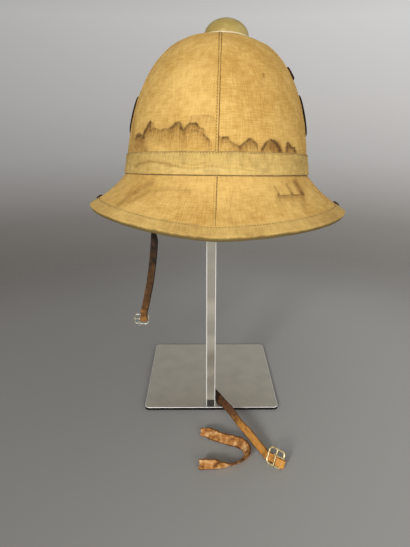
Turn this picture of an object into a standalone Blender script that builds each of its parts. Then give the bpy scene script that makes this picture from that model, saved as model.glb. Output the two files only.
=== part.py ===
"""A pith helmet on a plain display stand, with the parts of its broken leather chin strap.

The helmet is a moulded pith wall under six cloth gores, a cloth-covered brim with a bound edge,
a flat band round the foot of the crown and a domed ventilator on top. It leans back a little on
the stand, a square bar on a polished plate. Metres, +Z up, the viewer stands at -Y, and the
origin is the middle of the plate's underside.
"""

import math

import bmesh
import bpy
import numpy as np
from mathutils import Matrix, Vector

for leftover in list(bpy.data.objects):
    bpy.data.objects.remove(leftover, do_unlink=True)

MM = 0.001

# Room between pieces that touch, and how finely round pieces are divided
CLEARANCE = 0.3 * MM
AROUND = 48
AROUND_VENT = 28
AROUND_SMALL = 12
AROUND_WIRE = 6
CROWN_ROWS = 8

# Stand: a polished plate, a square bar at its front edge, and the hidden rest in the crown
BASE_WIDTH = 150 * MM
BASE_DEPTH = 150 * MM
BASE_THICKNESS = 4 * MM
BASE_CORNER = 9 * MM
BASE_EDGE = 0.8 * MM
POST_SIDE = 10 * MM
POST_HEIGHT = 318 * MM
POST_EDGE = 1 * MM
POST_INSET = 0.5 * MM
POST_SHIFT = -1 * MM
REST_BAR = 8 * MM
REST_EDGE = 0.3 * MM
REST_STEM_RADIUS = 5 * MM
REST_RISE = 49.9 * MM
REST_PAD_RADIUS = 28 * MM
REST_PAD_THICKNESS = 6 * MM

# Crown: an oval plan carried up a rounded profile, flattened round the ventilator and flared at
# its foot, which is a little lower on the left
CROWN_HALF_WIDTH = 91.5 * MM
CROWN_HALF_LENGTH = 109 * MM
CROWN_HEIGHT = 136.6 * MM
CROWN_ROUNDNESS = 2.32
CROWN_DIP = 4.8 * MM
CROWN_DIP_SPREAD = 0.38
FOOT_TILT = 1.6 * MM
FOOT_FLARE = 2.8 * MM
FOOT_FLARE_REACH = 15 * MM

# Brim: how far it stands out and drops at the sides, in front and behind
SIDE_OVERHANG = 36 * MM
FRONT_OVERHANG = 45 * MM
REAR_OVERHANG = 56 * MM
SIDE_DROP = 30.9 * MM
FRONT_DROP = 44.9 * MM
REAR_DROP = 43.9 * MM
OVERHANG_SPREAD = 1.7
DROP_SPREAD = 1.33
BRIM_SKEW = 1.8 * MM
BRIM_LIFT_LEFT = 1.2 * MM
BRIM_CURL = 0.42
HEM_WIDTH = 10 * MM

# Walls of the helmet
SHELL_THICKNESS = 3 * MM
SHELL_EDGE_THICKNESS = 2 * MM
COVER_THICKNESS = 1.2 * MM
BINDING_THICKNESS = 1 * MM
BINDING_PROUD = 0.2 * MM
BINDING_ROUND = 0.3
BAND_THICKNESS = 1.1 * MM
BAND_HEIGHT = 20 * MM
BAND_FOOT = 0.8 * MM
CROWN_SEAM_WIDTH = 4 * MM
BRIM_SEAM_WIDTH = 3 * MM
SEAM_PROUD = 0.5 * MM
SEAM_SIDE = 0.4

# How the helmet sits: where its axis meets the rest, and how it leans
SEAT_RIGHT = 8.5 * MM
SEAT_BACK = -1.7 * MM
LEAN_BACK = math.radians(7.1)
LEAN_RIGHT = math.radians(1.35)
TURN_LEFT = math.radians(2.0)

# Ventilator: a domed cap over a collar, set a little to the right
VENT_RADIUS = 22.4 * MM
VENT_HEIGHT = 18.5 * MM
VENT_LIP = 1.5 * MM
VENT_WALL = 1.5 * MM
VENT_ROUNDNESS = 1.95
VENT_GAP = 1.6 * MM
VENT_SHIFT = 5.8 * MM
VENT_TILT = math.radians(2.0)
VENT_COLLAR_RADIUS = 7.5 * MM
VENT_COLLAR_BORE = 5.8 * MM
CROWN_HOLE_RADIUS = 14 * MM

# Side badges: thin bare plates that follow the crown
BADGE_THICKNESS = 1.5 * MM
BADGE_OUTLINE = (
    # share of the height, share of the width
    (0.00, 0.62),
    (0.18, 0.90),
    (0.45, 1.00),
    (0.80, 1.00),
    (1.00, 0.86),
)
BADGES = (
    # name, turn in degrees, foot height, height, width
    ("badge_left", -91.5, 41 * MM, 35 * MM, 28 * MM),
    ("badge_right", 91, 39 * MM, 39 * MM, 30 * MM),
    ("badge_right_small", 84, 92.3 * MM, 11 * MM, 14 * MM),
)

# Brim studs
STUD_RADIUS = 3.6 * MM
STUD_HEIGHT = 2.4 * MM
STUDS = (
    # name, turn in degrees, share of the way from the edge to the crown
    ("stud_right", 82, 0.14),
    ("stud_left", -84, 0.14),
)

# Chin strap and its buckles
STRAP_WIDTH = 8.4 * MM
STRAP_THICKNESS = 1.8 * MM
SCRAP_WIDTH = 10.5 * MM
LOOSE_REACH = 100 * MM
LOOSE_FLAP = 5 * MM
LOOSE_APPROACH = 2 * MM
SCRAP_REACH = 50 * MM
HANGING_FROM = 21.6 * MM
HANGING_DROP = 183 * MM
HANGING_SWING = 16 * MM
HANGING_FLAP = 9 * MM
HANGING_APPROACH = 4 * MM
HANGING_LEAD = 3 * MM
BUCKLE_LENGTH = 15.8 * MM
BUCKLE_WIDTH = 15.8 * MM
BUCKLE_CORNER = 3.5 * MM
WIRE_RADIUS = 0.9 * MM
BAR_SHARE = 0.8
PRONG_RADIUS = 0.6 * MM
PRONG_HOOK = math.radians(175)
RIVET_RADIUS = 2.6 * MM
RIVET_HEIGHT = 1.2 * MM

# Seams of the crown and of the brim, as turns in degrees from the front, growing to the right
SIDE_SEAM = 67.5
REAR_SEAM = 120.0
GORES = (
    # name, first seam, last seam
    ("gore_front_right", 0, SIDE_SEAM),
    ("gore_side_right", SIDE_SEAM, REAR_SEAM),
    ("gore_rear_right", REAR_SEAM, 180),
    ("gore_rear_left", 180, 360 - REAR_SEAM),
    ("gore_side_left", 360 - REAR_SEAM, 360 - SIDE_SEAM),
    ("gore_front_left", 360 - SIDE_SEAM, 360),
)
CROWN_SEAMS = (
    ("crown_seam_front", 0),
    ("crown_seam_side_right", SIDE_SEAM),
    ("crown_seam_rear_right", REAR_SEAM),
    ("crown_seam_rear", 180),
    ("crown_seam_rear_left", 360 - REAR_SEAM),
    ("crown_seam_side_left", 360 - SIDE_SEAM),
)
BRIM_PANELS = (
    ("brim_panel_front_right", 0, SIDE_SEAM),
    ("brim_panel_rear_right", SIDE_SEAM, 180),
    ("brim_panel_rear_left", 180, 360 - SIDE_SEAM),
    ("brim_panel_front_left", 360 - SIDE_SEAM, 360),
)
BRIM_SEAMS = (
    ("brim_seam_front", 0),
    ("brim_seam_right", SIDE_SEAM),
    ("brim_seam_rear", 180),
    ("brim_seam_left", 360 - SIDE_SEAM),
)
BRIM_SHARES = (0.0, 0.22, 0.46, 0.73, 1.0)

# Finishes: colour, roughness, metallic
KHAKI = ((0.70, 0.44, 0.13), 0.85, 0.0)
KHAKI_DARK = ((0.45, 0.28, 0.09), 0.85, 0.0)
BAND_KHAKI = ((0.64, 0.42, 0.14), 0.85, 0.0)
PITH = ((0.55, 0.42, 0.26), 0.9, 0.0)
VENT_METAL = ((0.52, 0.38, 0.12), 0.45, 0.3)
DARK_METAL = ((0.05, 0.03, 0.02), 0.5, 0.6)
BRASS = ((0.70, 0.55, 0.25), 0.3, 1.0)
DARK_LEATHER = ((0.09, 0.035, 0.012), 0.6, 0.0)
TAN_LEATHER = ((0.55, 0.22, 0.05), 0.7, 0.0)
POLISHED = ((0.60, 0.59, 0.56), 0.12, 1.0)


def finish(name, look):
    """A plain material of one colour."""
    colour, roughness, metallic = look
    material = bpy.data.materials.new(name)
    material.use_nodes = True
    shader = material.node_tree.nodes["Principled BSDF"]
    shader.inputs["Base Color"].default_value = (*colour, 1.0)
    shader.inputs["Roughness"].default_value = roughness
    shader.inputs["Metallic"].default_value = metallic
    return material


def solid(name, points, faces, look, parent=None):
    """An object from points and faces that close a body, with its faces turned outward."""
    mesh = bpy.data.meshes.new(name)
    mesh.from_pydata([tuple(point) for point in points], [], faces)
    body = bmesh.new()
    body.from_mesh(mesh)
    bmesh.ops.recalc_face_normals(body, faces=body.faces)
    body.to_mesh(mesh)
    body.free()
    mesh.shade_smooth()
    mesh.set_sharp_from_angle(angle=math.radians(35))
    mesh.materials.append(finish(name, look))
    piece = bpy.data.objects.new(name, mesh)
    bpy.context.scene.collection.objects.link(piece)
    piece.parent = parent
    return piece


def helper(piece):
    """Marks a piece as something that only shapes another one."""
    piece.hide_render = True
    piece.display_type = "WIRE"
    return piece


def join(piece, other):
    """Fuses a helper into a piece."""
    union = piece.modifiers.new("union_" + other.name, "BOOLEAN")
    union.operation = "UNION"
    union.solver = "EXACT"
    union.object = helper(other)


def quads(rows, columns, start, closed):
    """Faces between neighbouring rows of a grid of points; closed joins the last column to the first."""
    spans = columns if closed else columns - 1
    faces = []
    for row in range(rows - 1):
        for column in range(spans):
            here = start + row * columns + column
            beside = start + row * columns + (column + 1) % columns
            faces.append((here, beside, beside + columns, here + columns))
    return faces


def patch_wall(outer, inner):
    """A wall with four rims between two grids of points with the same rows and columns."""
    rows, columns = outer.shape[:2]
    points = np.concatenate([outer.reshape(-1, 3), inner.reshape(-1, 3)])
    inside = rows * columns
    faces = quads(rows, columns, 0, False)
    faces += [face[::-1] for face in quads(rows, columns, inside, False)]
    around = [(0, column) for column in range(columns)]
    around += [(row, columns - 1) for row in range(1, rows)]
    around += [(rows - 1, column) for column in range(columns - 2, -1, -1)]
    around += [(row, 0) for row in range(rows - 2, 0, -1)]
    rim = [row * columns + column for row, column in around]
    for here, beside in zip(rim, rim[1:] + rim[:1]):
        faces.append((here, inside + here, inside + beside, beside))
    return points, faces


def ring_body(sections, closed_path=True):
    """A tube of any section: sections is a grid of path steps by section points."""
    steps, around = sections.shape[:2]
    points = sections.reshape(-1, 3)
    faces = quads(steps, around, 0, True)
    if closed_path:
        last = (steps - 1) * around
        for column in range(around):
            beside = (column + 1) % around
            faces.append((last + column, last + beside, beside, column))
    else:
        faces.append(tuple(range(around))[::-1])
        faces.append(tuple((steps - 1) * around + column for column in range(around)))
    return points, faces


def turned_body(profile, segments, closed_profile=False):
    """A body turned round Z. An open profile starts and ends on the axis; a closed one is a ring."""
    turns = np.linspace(0, 2 * np.pi, segments, endpoint=False)
    rings = profile if closed_profile else profile[1:-1]
    grid = np.array(
        [[(r * np.cos(t), r * np.sin(t), z) for t in turns] for r, z in rings]
    )
    if closed_profile:
        return ring_body(grid.transpose(1, 0, 2))
    points = grid.reshape(-1, 3)
    faces = quads(len(rings), segments, 0, True)
    foot, top = len(points), len(points) + 1
    points = np.concatenate([points, [(0, 0, profile[0][1])], [(0, 0, profile[-1][1])]])
    last = (len(rings) - 1) * segments
    for column in range(segments):
        beside = (column + 1) % segments
        faces.append((foot, beside, column))
        faces.append((top, last + column, last + beside))
    return points, faces


# Shape of the helmet, in its own frame: the origin is the middle of the crown's foot


def climb_at_height(height):
    """Where a height above the foot lies on the crown's profile, 0 at the foot to 1 at the top."""
    return 2 / np.pi * np.arcsin((height / CROWN_HEIGHT) ** (CROWN_ROUNDNESS / 2))


def climb_at_radius(radius):
    """Where the crown's profile comes in to a radius."""
    return 2 / np.pi * np.arccos((radius / CROWN_HALF_WIDTH) ** (CROWN_ROUNDNESS / 2))


def crown_surface(turn, climb):
    """Oval plan times a superellipse profile, with a flare that fades upward from the foot, a
    top flattened round the ventilator, and a tilt that is full at the foot and none at the top."""
    spread = np.cos(climb * np.pi / 2) ** (2 / CROWN_ROUNDNESS)
    rise = np.sin(climb * np.pi / 2) ** (2 / CROWN_ROUNDNESS)
    height = CROWN_HEIGHT * rise
    flare = FOOT_FLARE * spread * np.exp(-height / FOOT_FLARE_REACH)
    right = (CROWN_HALF_WIDTH * spread + flare) * np.sin(turn)
    back = -(CROWN_HALF_LENGTH * spread + flare) * np.cos(turn)
    from_vent = np.hypot((right - VENT_SHIFT) / CROWN_HALF_WIDTH, back / CROWN_HALF_LENGTH)
    dip = CROWN_DIP * np.exp(-((from_vent / CROWN_DIP_SPREAD) ** 4))
    return np.stack([right, back, height - dip + FOOT_TILT * np.sin(turn) * spread], -1)


def between_side_and_end(turn, side, front, rear, spread):
    """A size that is its side value at the sides and its end values in front and behind."""
    end = np.where(np.cos(turn) > 0, front, rear)
    return side + (end - side) * (1 - np.abs(np.sin(turn)) ** spread)


def overhang(turn):
    even = between_side_and_end(
        turn, SIDE_OVERHANG, FRONT_OVERHANG, REAR_OVERHANG, OVERHANG_SPREAD
    )
    return even + BRIM_SKEW * np.sin(turn)


def drop(turn):
    """The drop at each turn; the edge is bent up a little between the front and the left side."""
    even = between_side_and_end(turn, SIDE_DROP, FRONT_DROP, REAR_DROP, DROP_SPREAD)
    bent = np.clip(-np.sin(2 * turn), 0, None) ** 2 * (np.cos(turn) > 0)
    return even - BRIM_LIFT_LEFT * bent


def brim_surface(turn, climb):
    """From the edge (0) up to the crown's foot (1): it falls steeply at first, then flares out."""
    out = 1 - climb
    reach = overhang(turn) * ((1 - BRIM_CURL) * out + BRIM_CURL * out**2)
    half_width = CROWN_HALF_WIDTH + FOOT_FLARE
    half_length = CROWN_HALF_LENGTH + FOOT_FLARE
    slope_x = half_length * np.sin(turn)
    slope_y = -half_width * np.cos(turn)
    length = np.hypot(slope_x, slope_y)
    right = half_width * np.sin(turn) + reach * slope_x / length
    back = -half_length * np.cos(turn) + reach * slope_y / length
    return np.stack([right, back, FOOT_TILT * np.sin(turn) * climb - drop(turn) * out], -1)


def lifted(surface, turn, climb, lift):
    """The surface moved along its own outward normal by lift."""
    turn, climb, lift = np.broadcast_arrays(turn, climb, lift)
    step = 1e-4
    low = np.clip(climb - step, 0, 1)
    high = np.clip(climb + step, 0, 1)
    upward = surface(turn, high) - surface(turn, low)
    sideways = surface(turn + step, climb) - surface(turn - step, climb)
    normal = np.cross(sideways, upward)
    normal /= np.linalg.norm(normal, axis=-1, keepdims=True)
    return surface(turn, climb) + lift[..., None] * normal


def turn_across(surface, turn, climb, width):
    """The turn that covers a width at this place."""
    step = 1e-4
    travel = surface(turn + step, climb) - surface(turn - step, climb)
    return width * 2 * step / np.linalg.norm(travel, axis=-1)


def hem_climb(turn):
    """Where the hem's stitching lies, as a share of the way from the edge to the crown."""
    return HEM_WIDTH / np.hypot(overhang(turn), drop(turn))


def shell_thickness(climb):
    """The pith is thinner at the brim's edge and full from half way up."""
    return SHELL_EDGE_THICKNESS + (SHELL_THICKNESS - SHELL_EDGE_THICKNESS) * np.minimum(
        2 * climb, 1
    )


def brim_climb(turn, share, gap):
    """A share of the way from just above the hem to just below the crown's foot."""
    foot = hem_climb(turn) + gap
    return foot + (1 - gap - foot) * share


def crown_climbs(foot_heights):
    """Rows of the crown: the given heights near its foot, then even steps to the hole at the top."""
    low = [float(climb_at_height(height)) for height in foot_heights]
    top = float(climb_at_radius(CROWN_HOLE_RADIUS))
    return low + list(np.linspace(low[-1], top, CROWN_ROWS)[1:])


def shell_climbs():
    """Rows of the pith crown: the foot, the gores' rows, and one more before the top."""
    climbs = [0.0] + crown_climbs(FOOT_HEIGHTS)
    return climbs + [(1 + climbs[-1]) / 2]


SHELL_TOP = -COVER_THICKNESS - CLEARANCE
CROWN_TOP = CROWN_HEIGHT - CROWN_DIP
FULL_TURN = np.linspace(0, 2 * np.pi, AROUND, endpoint=False)
FOOT_HEIGHTS = (BAND_FOOT, BAND_HEIGHT)
SMALL_CLIMB = 0.012
LEAST_COLUMN = 0.25

# The helmet's frame: its crown's ceiling rests on the pad at the top of the stand
helmet = bpy.data.objects.new("helmet", None)
bpy.context.scene.collection.objects.link(helmet)
LEAN = (
    Matrix.Rotation(-TURN_LEFT, 4, "Z")
    @ Matrix.Rotation(LEAN_RIGHT, 4, "Y")
    @ Matrix.Rotation(-LEAN_BACK, 4, "X")
)
CEILING = CROWN_TOP + SHELL_TOP - SHELL_THICKNESS
POST_TOP = BASE_THICKNESS + CLEARANCE + POST_HEIGHT
STEM_FOOT = POST_TOP + CLEARANCE + REST_BAR
PAD_TOP = STEM_FOOT + REST_RISE
seat = LEAN @ Vector((0, 0, CEILING - CLEARANCE))
helmet.rotation_euler = LEAN.to_euler()
helmet.location = (SEAT_RIGHT - seat.x, SEAT_BACK - seat.y, PAD_TOP - seat.z)
bpy.context.view_layer.update()
HELMET_PLACE = np.array(helmet.matrix_world)


def in_world(points):
    """Points of the helmet's frame, placed in the world."""
    return points @ HELMET_PLACE[:3, :3].T + HELMET_PLACE[:3, 3]


def make_shell():
    """The pith wall: brim and crown in one, closed at the top and open underneath."""
    turn = FULL_TURN[None, :]
    crown_rows = np.array(shell_climbs())[:, None]
    brim_rows = brim_climb(turn, np.array(BRIM_SHARES)[:, None], SMALL_CLIMB)
    brim_rows = np.concatenate([np.zeros_like(turn), brim_rows])
    outer = np.concatenate(
        [
            lifted(brim_surface, turn, brim_rows, SHELL_TOP),
            lifted(crown_surface, turn, crown_rows, SHELL_TOP),
        ]
    )
    inner = np.concatenate(
        [
            lifted(brim_surface, turn, brim_rows, SHELL_TOP - shell_thickness(brim_rows)),
            lifted(crown_surface, turn, crown_rows, SHELL_TOP - SHELL_THICKNESS),
        ]
    )
    rows, columns = outer.shape[:2]
    inside = rows * columns
    poles = [(0, 0, CROWN_TOP + SHELL_TOP), (0, 0, CEILING)]
    points = np.concatenate([outer.reshape(-1, 3), inner.reshape(-1, 3), poles])
    faces = quads(rows, columns, 0, True)
    faces += [face[::-1] for face in quads(rows, columns, inside, True)]
    last = (rows - 1) * columns
    for column in range(columns):
        beside = (column + 1) % columns
        faces.append((column, inside + column, inside + beside, beside))
        faces.append((last + column, last + beside, 2 * inside))
        faces.append((inside + last + beside, inside + last + column, 2 * inside + 1))
    solid("pith_shell", points, faces, PITH, helmet)


def panel_turns(surface, first, last, rows, seam_width):
    """Turns across a panel between two seams, one row of columns for each climb."""
    spans = round((last - first) / (360 / AROUND))
    gap = seam_width / 2 + CLEARANCE
    shares = np.linspace(0, 1, spans + 1)[None, :]
    start = math.radians(first)
    end = math.radians(last)
    trim_start = turn_across(surface, start, rows[:, :1], gap)
    trim_end = turn_across(surface, end, rows[:, -1:], gap)
    turns = start + (end - start) * shares
    return np.clip(turns, start + trim_start, end - trim_end)


def spread_panel(surface, first, last, row_values, seam_width):
    """Turns and climbs of a panel's grid; the columns next to a seam stay apart from its rim."""
    turns = panel_turns(surface, first, last, row_values, seam_width)
    low = turns[:, :1]
    high = turns[:, -1:]
    shares = np.linspace(0, 1, turns.shape[1])[None, :]
    even = low + (high - low) * shares
    crowded = (turns[:, 1:2] - low) < LEAST_COLUMN * (even[:, 1:2] - low)
    return np.where(crowded, even, turns)


def make_gores():
    """Six cloth gores that meet at the seams and run from under the band to the ventilator."""
    rows = np.array(crown_climbs(FOOT_HEIGHTS))[:, None]
    for name, first, last in GORES:
        turns = spread_panel(crown_surface, first, last, rows, CROWN_SEAM_WIDTH)
        outer = lifted(crown_surface, turns, rows, 0.0)
        inner = lifted(crown_surface, turns, rows, -COVER_THICKNESS)
        solid(name, *patch_wall(outer, inner), KHAKI, helmet)


def make_brim_panels():
    """Four cloth panels that cover the brim from the hem to the crown's foot."""
    shares = np.array(BRIM_SHARES)[:, None]
    for name, first, last in BRIM_PANELS:
        middle = math.radians((first + last) / 2)
        rows = brim_climb(middle, shares, SMALL_CLIMB)
        turns = spread_panel(brim_surface, first, last, rows, BRIM_SEAM_WIDTH)
        climbs = brim_climb(turns, shares, SMALL_CLIMB)
        outer = lifted(brim_surface, turns, climbs, 0.0)
        inner = lifted(brim_surface, turns, climbs, -COVER_THICKNESS)
        solid(name, *patch_wall(outer, inner), KHAKI, helmet)


def seam_body(surface, turn, rows, width):
    """A low ridge that runs up between two panels, fullest at its middle."""
    section = (
        # share of the half width, height over the panels' outer face
        (-1, -COVER_THICKNESS),
        (1, -COVER_THICKNESS),
        (1, SEAM_SIDE * SEAM_PROUD),
        (0, SEAM_PROUD),
        (-1, SEAM_SIDE * SEAM_PROUD),
    )
    side, lift = np.array(section).T
    turns = turn + side * turn_across(surface, turn, rows, width / 2)[:, None]
    return ring_body(lifted(surface, turns, rows[:, None], lift), closed_path=False)


def make_seams():
    """Felled seams: six up the crown from the band, four down the brim to the hem."""
    rows = np.array(crown_climbs((BAND_HEIGHT + CLEARANCE,)))
    for name, degrees in CROWN_SEAMS:
        turn = math.radians(degrees)
        body = seam_body(crown_surface, turn, rows, CROWN_SEAM_WIDTH)
        solid(name, *body, KHAKI_DARK, helmet)
    for name, degrees in BRIM_SEAMS:
        turn = math.radians(degrees)
        rows_here = brim_climb(turn, np.array(BRIM_SHARES), SMALL_CLIMB)
        body = seam_body(brim_surface, turn, rows_here, BRIM_SEAM_WIDTH)
        solid(name, *body, KHAKI_DARK, helmet)


def make_band():
    """The flat cloth band round the foot of the crown, over the ends of the gores."""
    turn = FULL_TURN[:, None]
    rows = np.array([climb_at_height(height) for height in FOOT_HEIGHTS])
    climbs = np.concatenate([rows, rows[::-1]])[None, :]
    lifts = np.array([CLEARANCE] * len(rows) + [CLEARANCE + BAND_THICKNESS] * len(rows))
    sections = lifted(crown_surface, turn, climbs, lifts[None, :])
    solid("band", *ring_body(sections), BAND_KHAKI, helmet)


def make_binding():
    """The cloth folded round the brim's edge, flat above and below, round at the nose."""
    turn = FULL_TURN[:, None]
    hem = hem_climb(turn) - CLEARANCE / np.hypot(overhang(turn), drop(turn))
    top_out = BINDING_PROUD
    top_in = -COVER_THICKNESS
    under_hem = SHELL_TOP - shell_thickness(hem) - CLEARANCE
    under_edge = SHELL_TOP - SHELL_EDGE_THICKNESS - CLEARANCE
    none = np.zeros_like(turn)
    nose_in = CLEARANCE
    nose_out = CLEARANCE + BINDING_THICKNESS
    round_off = BINDING_ROUND * (top_out - under_edge + BINDING_THICKNESS)
    section = (
        # climb, lift, how far past the edge
        (hem, none + top_out, 0),
        (none, none + top_out, 0),
        (none, none + top_out - round_off, nose_out),
        (none, none + under_edge - BINDING_THICKNESS + round_off, nose_out),
        (none, none + under_edge - BINDING_THICKNESS, 0),
        (hem, under_hem - BINDING_THICKNESS, 0),
        (hem, under_hem, 0),
        (none, none + under_edge, nose_in),
        (none, none + top_in, nose_in),
        (hem, none + top_in, 0),
    )
    climbs = np.concatenate([climb for climb, _, _ in section], 1)
    lifts = np.concatenate([lift for _, lift, _ in section], 1)
    past = np.array([past for _, _, past in section])[None, :, None]
    outward = brim_surface(turn, none) - brim_surface(turn, none + 1e-3)
    outward /= np.linalg.norm(outward, axis=-1, keepdims=True)
    sections = lifted(brim_surface, turn, climbs, lifts) + past * outward
    solid("brim_binding", *ring_body(sections), KHAKI_DARK, helmet)


def make_ventilator():
    """A thin domed cap on a short collar that stands on the pith inside the gores' tops."""
    vent = bpy.data.objects.new("vent", None)
    bpy.context.scene.collection.objects.link(vent)
    vent.parent = helmet
    vent.location = (VENT_SHIFT, 0, CROWN_TOP + VENT_GAP)
    vent.rotation_euler = (0, VENT_TILT, 0)

    def dome(radius, height, foot, steps):
        """Radius and height along a superellipse from its foot to the axis."""
        angles = np.linspace(0, np.pi / 2, steps)
        spread = np.cos(angles) ** (2 / VENT_ROUNDNESS)
        rise = np.sin(angles) ** (2 / VENT_ROUNDNESS)
        profile = [(radius * s, foot + height * r) for s, r in zip(spread, rise)]
        return profile[:-1] + [(0.0, foot + height)]

    outer = [(VENT_RADIUS, 0.0)] + dome(VENT_RADIUS, VENT_HEIGHT - VENT_LIP, VENT_LIP, 7)
    inner_radius = VENT_RADIUS - VENT_WALL
    ceiling = VENT_HEIGHT - VENT_LIP - VENT_WALL
    inner = dome(inner_radius, ceiling, VENT_LIP, 6)
    profile = inner[::-1] + [(inner_radius, 0.0)] + outer
    solid("vent_cap", *turned_body(profile, AROUND_VENT), VENT_METAL, vent)

    reach = (VENT_COLLAR_RADIUS / inner_radius) ** VENT_ROUNDNESS
    under_cap = VENT_LIP + ceiling * (1 - reach) ** (1 / VENT_ROUNDNESS) - 3 * CLEARANCE
    foot = SHELL_TOP + CLEARANCE - VENT_GAP
    collar = [
        (VENT_COLLAR_BORE, foot),
        (VENT_COLLAR_RADIUS, foot),
        (VENT_COLLAR_RADIUS, under_cap),
        (VENT_COLLAR_BORE, under_cap),
    ]
    body = turned_body(collar, AROUND_SMALL, closed_profile=True)
    solid("vent_collar", *body, VENT_METAL, vent)


def make_badges():
    """Bare plates bent to the crown, narrower towards the foot."""
    height_shares, width_shares = np.array(BADGE_OUTLINE).T
    columns = np.linspace(-1, 1, 4)
    for name, degrees, foot, height, width in BADGES:
        turn = math.radians(degrees)
        rows = np.array([climb_at_height(foot + height * h) for h in height_shares])
        half = turn_across(crown_surface, turn, rows, width / 2) * width_shares
        turns = turn + half[:, None] * columns[None, :]
        back = lifted(crown_surface, turns, rows[:, None], CLEARANCE)
        front = lifted(crown_surface, turns, rows[:, None], CLEARANCE + BADGE_THICKNESS)
        solid(name, *patch_wall(front, back), DARK_METAL, helmet)


def facing(origin, normal):
    """A matrix that puts a turned piece on a surface, with its axis along the normal."""
    beside = np.cross(normal, (0.0, 1.0, 0.0))
    beside /= np.linalg.norm(beside)
    place = np.eye(4)
    place[:3, 0] = beside
    place[:3, 1] = np.cross(normal, beside)
    place[:3, 2] = normal
    place[:3, 3] = origin
    return Matrix(place.tolist())


def button_profile(radius, height):
    """A low round head."""
    shares = (
        # radius, height
        (0, 0),
        (1, 0),
        (0.95, 0.45),
        (0.6, 0.88),
        (0, 1),
    )
    return [(radius * r, height * h) for r, h in shares]


def make_studs():
    for name, degrees, climb in STUDS:
        turn = math.radians(degrees)
        foot = lifted(brim_surface, turn, climb, BINDING_PROUD + CLEARANCE)
        normal = foot - brim_surface(np.array(turn), np.array(climb))
        body = turned_body(button_profile(STUD_RADIUS, STUD_HEIGHT), AROUND_SMALL)
        stud = solid(name, *body, DARK_METAL, helmet)
        stud.matrix_local = facing(foot, normal / np.linalg.norm(normal))


def smooth_rows(rows, steps):
    """Catmull-Rom curve through rows of any columns, with this many steps between two rows."""
    rows = np.array(rows, float)
    ends = np.concatenate([[2 * rows[0] - rows[1]], rows, [2 * rows[-1] - rows[-2]]])
    share = np.arange(steps)[:, None] / steps
    spans = []
    for before, here, after, beyond in zip(ends, ends[1:], ends[2:], ends[3:]):
        spans.append(
            here
            + 0.5 * share * (after - before)
            + share**2 * (before - 2.5 * here + 2 * after - 0.5 * beyond)
            + share**3 * (1.5 * here - 0.5 * before - 1.5 * after + 0.5 * beyond)
        )
    return np.concatenate(spans + [rows[-1:]])


def strap_body(centres, acrosses, widths):
    """A flat strap: a rectangle carried along its centres, its width along the across vectors."""
    along = np.gradient(centres, axis=0)
    face = np.cross(along, acrosses)
    face /= np.linalg.norm(face, axis=-1, keepdims=True)
    across = acrosses * np.reshape(widths, (-1, 1)) / 2
    thick = face * STRAP_THICKNESS / 2
    corners = [centres + across + thick, centres + across - thick]
    corners += [centres - across - thick, centres - across + thick]
    return ring_body(np.stack(corners, 1), closed_path=False)


def tilted_across(centres, tilts, behind):
    """Across vectors that lie level to the left of the path and rise by the tilt."""
    along = np.gradient(centres, axis=0)
    along /= np.linalg.norm(along, axis=-1, keepdims=True)
    left = np.cross(behind, along)
    left /= np.linalg.norm(left, axis=-1, keepdims=True)
    rise = np.cross(along, left)
    angle = np.radians(tilts)[:, None]
    return np.cos(angle) * left + np.sin(angle) * rise


def lying_strap(rows, reach, width):
    """Centres, across vectors and widths of a strap given by where its lower edge runs."""
    right, ahead, on_base, rise, tilt, share = smooth_rows(rows, 3).T
    foot_height = on_base * BASE_THICKNESS + reach * rise
    foot = np.stack([reach * right, -BASE_DEPTH / 2 - reach * ahead, foot_height], 1)
    up = np.array([0.0, 0.0, 1.0])
    across = tilted_across(foot, tilt, up)
    edge = CLEARANCE + STRAP_THICKNESS / 2 * np.abs(np.cos(np.radians(tilt)))
    centres = foot + across * (width * share / 2)[:, None] + edge[:, None] * up
    return centres, across, width * share


def wrapped_end(frame, middle, start, bar, side, flap):
    """Centres of a strap that enters a buckle on one face, turns round a bar and comes back."""
    origin, along, across, normal = frame
    reach = WIRE_RADIUS + CLEARANCE + STRAP_THICKNESS / 2
    path = [(start, side * reach), ((start + bar) / 2, side * reach)]
    for angle in np.linspace(0, np.pi, 6):
        path.append((bar + reach * np.sin(angle), side * reach * np.cos(angle)))
    path.append((bar - flap, -side * reach))
    u, n = np.array(path).T
    return origin + across * middle + u[:, None] * along + n[:, None] * normal


def wire_sections(centres, binormal, radius, closed):
    """A round wire that lies in the plane square to its binormal."""
    if closed:
        along = np.roll(centres, -1, 0) - np.roll(centres, 1, 0)
    else:
        along = np.gradient(centres, axis=0)
    along /= np.linalg.norm(along, axis=-1, keepdims=True)
    normal = np.cross(binormal, along)
    angles = np.linspace(0, 2 * np.pi, AROUND_WIRE, endpoint=False)[None, :, None]
    ring = np.cos(angles) * normal[:, None] + np.sin(angles) * binormal
    return centres[:, None] + radius * ring


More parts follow.
